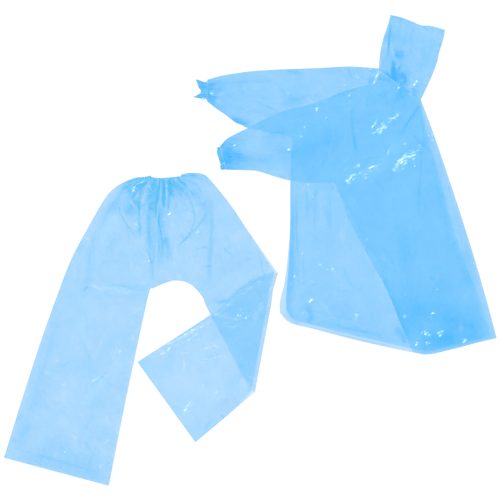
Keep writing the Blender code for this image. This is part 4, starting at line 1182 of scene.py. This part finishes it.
def film_material(name, blue, deep, one_layer, lean):
    """See-through film: one_layer is the share of light that one layer lets through.

    Its crumpled facets slope by lean, in x, y and z.
    """
    material = bpy.data.materials.new(name)
    material.use_nodes = True
    tree = material.node_tree
    shader = tree.nodes["Principled BSDF"]
    shader.inputs["IOR"].default_value = FILM_IOR

    def fed(made, pairs):
        """A node with these inputs set, or linked where a value is another node's output."""
        for key, value in pairs:
            if isinstance(value, bpy.types.NodeSocket):
                tree.links.new(value, made.inputs[key])
            else:
                made.inputs[key].default_value = value
        return made

    def node(kind, **named):
        pairs = ((key.replace("_", " "), value) for key, value in named.items())
        return fed(tree.nodes.new("ShaderNode" + kind), pairs)

    def operated(kind, operation, values):
        made = node(kind)
        made.operation = operation
        return fed(made, enumerate(values)).outputs[0]

    def maths(operation, *values):
        return operated("Math", operation, values)

    def vectors(operation, *values):
        return operated("VectorMath", operation, values)

    def attribute(name, output):
        made = node("Attribute")
        made.attribute_name = name
        return made.outputs[output]

    def weighed(start, *parts):
        """The start and each part times its weight, added up."""
        for value, weight in parts:
            start = maths("MULTIPLY_ADD", value, weight, start)
        return start

    def ridges(scale, width):
        """1 on the lines between this noise's cells, falling to 0 this far from them."""
        cell = node("TexVoronoi", Vector=warped, Scale=scale)
        cell.feature = "DISTANCE_TO_EDGE"
        cell.voronoi_dimensions = "2D"
        ridge = node("MapRange", Value=cell.outputs["Distance"], From_Min=0.0, From_Max=width,
                     To_Min=1.0, To_Max=0.0)
        ridge.interpolation_type = "SMOOTHSTEP"
        return ridge.outputs[0]

    def times(vector, value):
        thrice = node("CombineXYZ", X=value, Y=value, Z=value).outputs[0]
        return vectors("MULTIPLY", vector, thrice)

    def crumpled_normal():
        """Where the film is crumpled, small flat facets that mostly lean one way."""
        spot = node("Mapping", Vector=node("TexCoord").outputs["Object"],
                    Rotation=(0, 0, math.radians(CRUMPLE_TURN)), Scale=FACET_SHAPE)
        spot.vector_type = "TEXTURE"
        facet = node("TexVoronoi", Vector=spot.outputs[0], Scale=FACETS)
        facet.voronoi_dimensions = "2D"
        tilt = vectors("SUBTRACT", facet.outputs["Color"], (0.5, 0.5, 0.5))
        tilt = vectors("MULTIPLY", tilt, (FACET_SPREAD, FACET_SPREAD, 0))
        even = maths("MULTIPLY_ADD", gleam, -CRUMPLED_FLAT, 1 + CRUMPLED_FLAT)
        tilt = vectors("ADD", times(tilt, maths("MINIMUM", even, 1.0)), lean)
        chance = node("SeparateColor", Color=facet.outputs["Color"]).outputs["Blue"]
        tilt = times(tilt, maths("GREATER_THAN", gleam, chance))
        tilted = vectors("ADD", node("NewGeometry").outputs["Normal"], tilt)
        return vectors("NORMALIZE", tilted)

    place = attribute("place", "Vector")
    layers, gleam = attribute("layers", "Fac"), attribute("gleam", "Fac")
    bent = node("TexNoise", Vector=place, Scale=WARP_SCALE, Detail=WARP_DETAIL)
    warped = vectors("MULTIPLY_ADD", bent.outputs["Color"], WARP, place)
    mottle, fine = (
        node("TexNoise", Vector=vector, Scale=scale, Detail=detail, Roughness=rough).outputs["Fac"]
        for vector, (scale, detail, rough) in ((place, MOTTLE), (warped, FINE_NOISE)))

    crumple = weighed(ridges(*WIDE_RIDGES), (ridges(*NARROW_RIDGES), NARROW_SHARE),
                      (fine, FINE_SHARE))
    strength = weighed(BUMP_SHARE, (gleam, BUMP_IN_GLEAM))
    bump = node("Bump", Height=maths("MULTIPLY", crumple, strength), Normal=crumpled_normal(),
                Strength=1.0, Distance=BUMP)
    tree.links.new(bump.outputs[0], shader.inputs["Normal"])

    # More layers deepen the blue; fewer than none, along ridges and glints, lighten it: painted
    # highlight
    tone = weighed(TONE, (mottle, TONE_MOTTLE), (fine, TONE_FINE), (layers, TONE_LAYERS))
    colour = node("Mix")
    colour.data_type = "RGBA"
    colour.clamp_factor = True
    tree.links.new(tone, colour.inputs[0])
    colour.inputs[6].default_value = (*blue, 1)
    colour.inputs[7].default_value = (*deep, 1)
    tree.links.new(colour.outputs[2], shader.inputs["Base Color"])

    rough = weighed(ROUGH, (mottle, ROUGH_MOTTLE), (gleam, ROUGH_GLEAM))
    tree.links.new(rough, shader.inputs["Roughness"])

    # Fewer layers than none also let more floor show through: painted highlight along ridges and
    # glints
    film_here = maths("ADD", weighed(FILM, (mottle, FILM_MOTTLE), (fine, FILM_FINE)), layers)
    through = maths("POWER", one_layer, maths("MAXIMUM", film_here, LEAST_FILM))
    tree.links.new(maths("SUBTRACT", 1.0, through), shader.inputs["Alpha"])
    return material


# Stage

def build_stage():
    material = bpy.data.materials.new("pale_floor")
    material.use_nodes = True
    shader = material.node_tree.nodes["Principled BSDF"]
    shader.inputs["Base Color"].default_value = FLOOR_COLOUR
    shader.inputs["Roughness"].default_value = 1.0
    shader.inputs["Specular IOR Level"].default_value = 0.0
    mesh = bpy.data.meshes.new("floor")
    mesh.from_pydata([(x * FLOOR_REACH, y * FLOOR_REACH, 0)
                      for x, y in ((-1, -1), (1, -1), (1, 1), (-1, 1))], [], [(0, 1, 2, 3)])
    mesh.materials.append(material)
    floor = bpy.data.objects.new("floor", mesh)
    floor.location.z = FLOOR_LEVEL
    bpy.context.scene.collection.objects.link(floor)

    world = bpy.data.worlds.new("studio")
    world.use_nodes = True
    dome = world.node_tree.nodes["Background"]
    dome.inputs["Color"].default_value = (1, 1, 1, 1)
    dome.inputs["Strength"].default_value = DOME_LIGHT
    bpy.context.scene.world = world

    light = bpy.data.lights.new("key", "SUN")
    light.energy = KEY_STRENGTH
    light.angle = math.radians(KEY_WIDTH)
    item = bpy.data.objects.new("key", light)
    tilt, turn = math.radians(KEY_TILT), math.radians(KEY_TURN)
    towards = Vector((math.sin(tilt) * math.cos(turn), math.sin(tilt) * math.sin(turn),
                      math.cos(tilt)))
    item.rotation_euler = towards.to_track_quat("Z", "Y").to_euler()
    item.location = KEY_DISTANCE * towards
    bpy.context.scene.collection.objects.link(item)


def build_camera():
    camera = bpy.data.cameras.new("camera")
    camera.lens = camera.sensor_width * CAMERA_HEIGHT / VIEW_WIDTH
    camera.clip_end = CAMERA_REACH
    item = bpy.data.objects.new("camera", camera)
    item.location = (*VIEW_MIDDLE, CAMERA_HEIGHT)
    bpy.context.scene.collection.objects.link(item)
    bpy.context.scene.camera = item


def main():
    scene = bpy.context.scene
    scene.view_settings.view_transform = "Standard"
    scene.view_settings.look = "None"
    scene.cycles.transparent_max_bounces = FILM_LAYERS_SEEN
    coat_film = film_material("coat_film", COAT_BLUE, COAT_DEEP, COAT_LAYER, COAT_LEAN)
    trouser_film = film_material("trouser_film", TROUSER_BLUE, TROUSER_DEEP, TROUSER_LAYER,
                                 TROUSER_LEAN)
    build_stage()
    build_camera()
    build_coat_body(coat_film)
    build_sleeves(coat_film)
    build_hood(coat_film)
    build_right_leg(trouser_film)
    build_left_leg(trouser_film)
    build_rings(coat_film, trouser_film)


main()
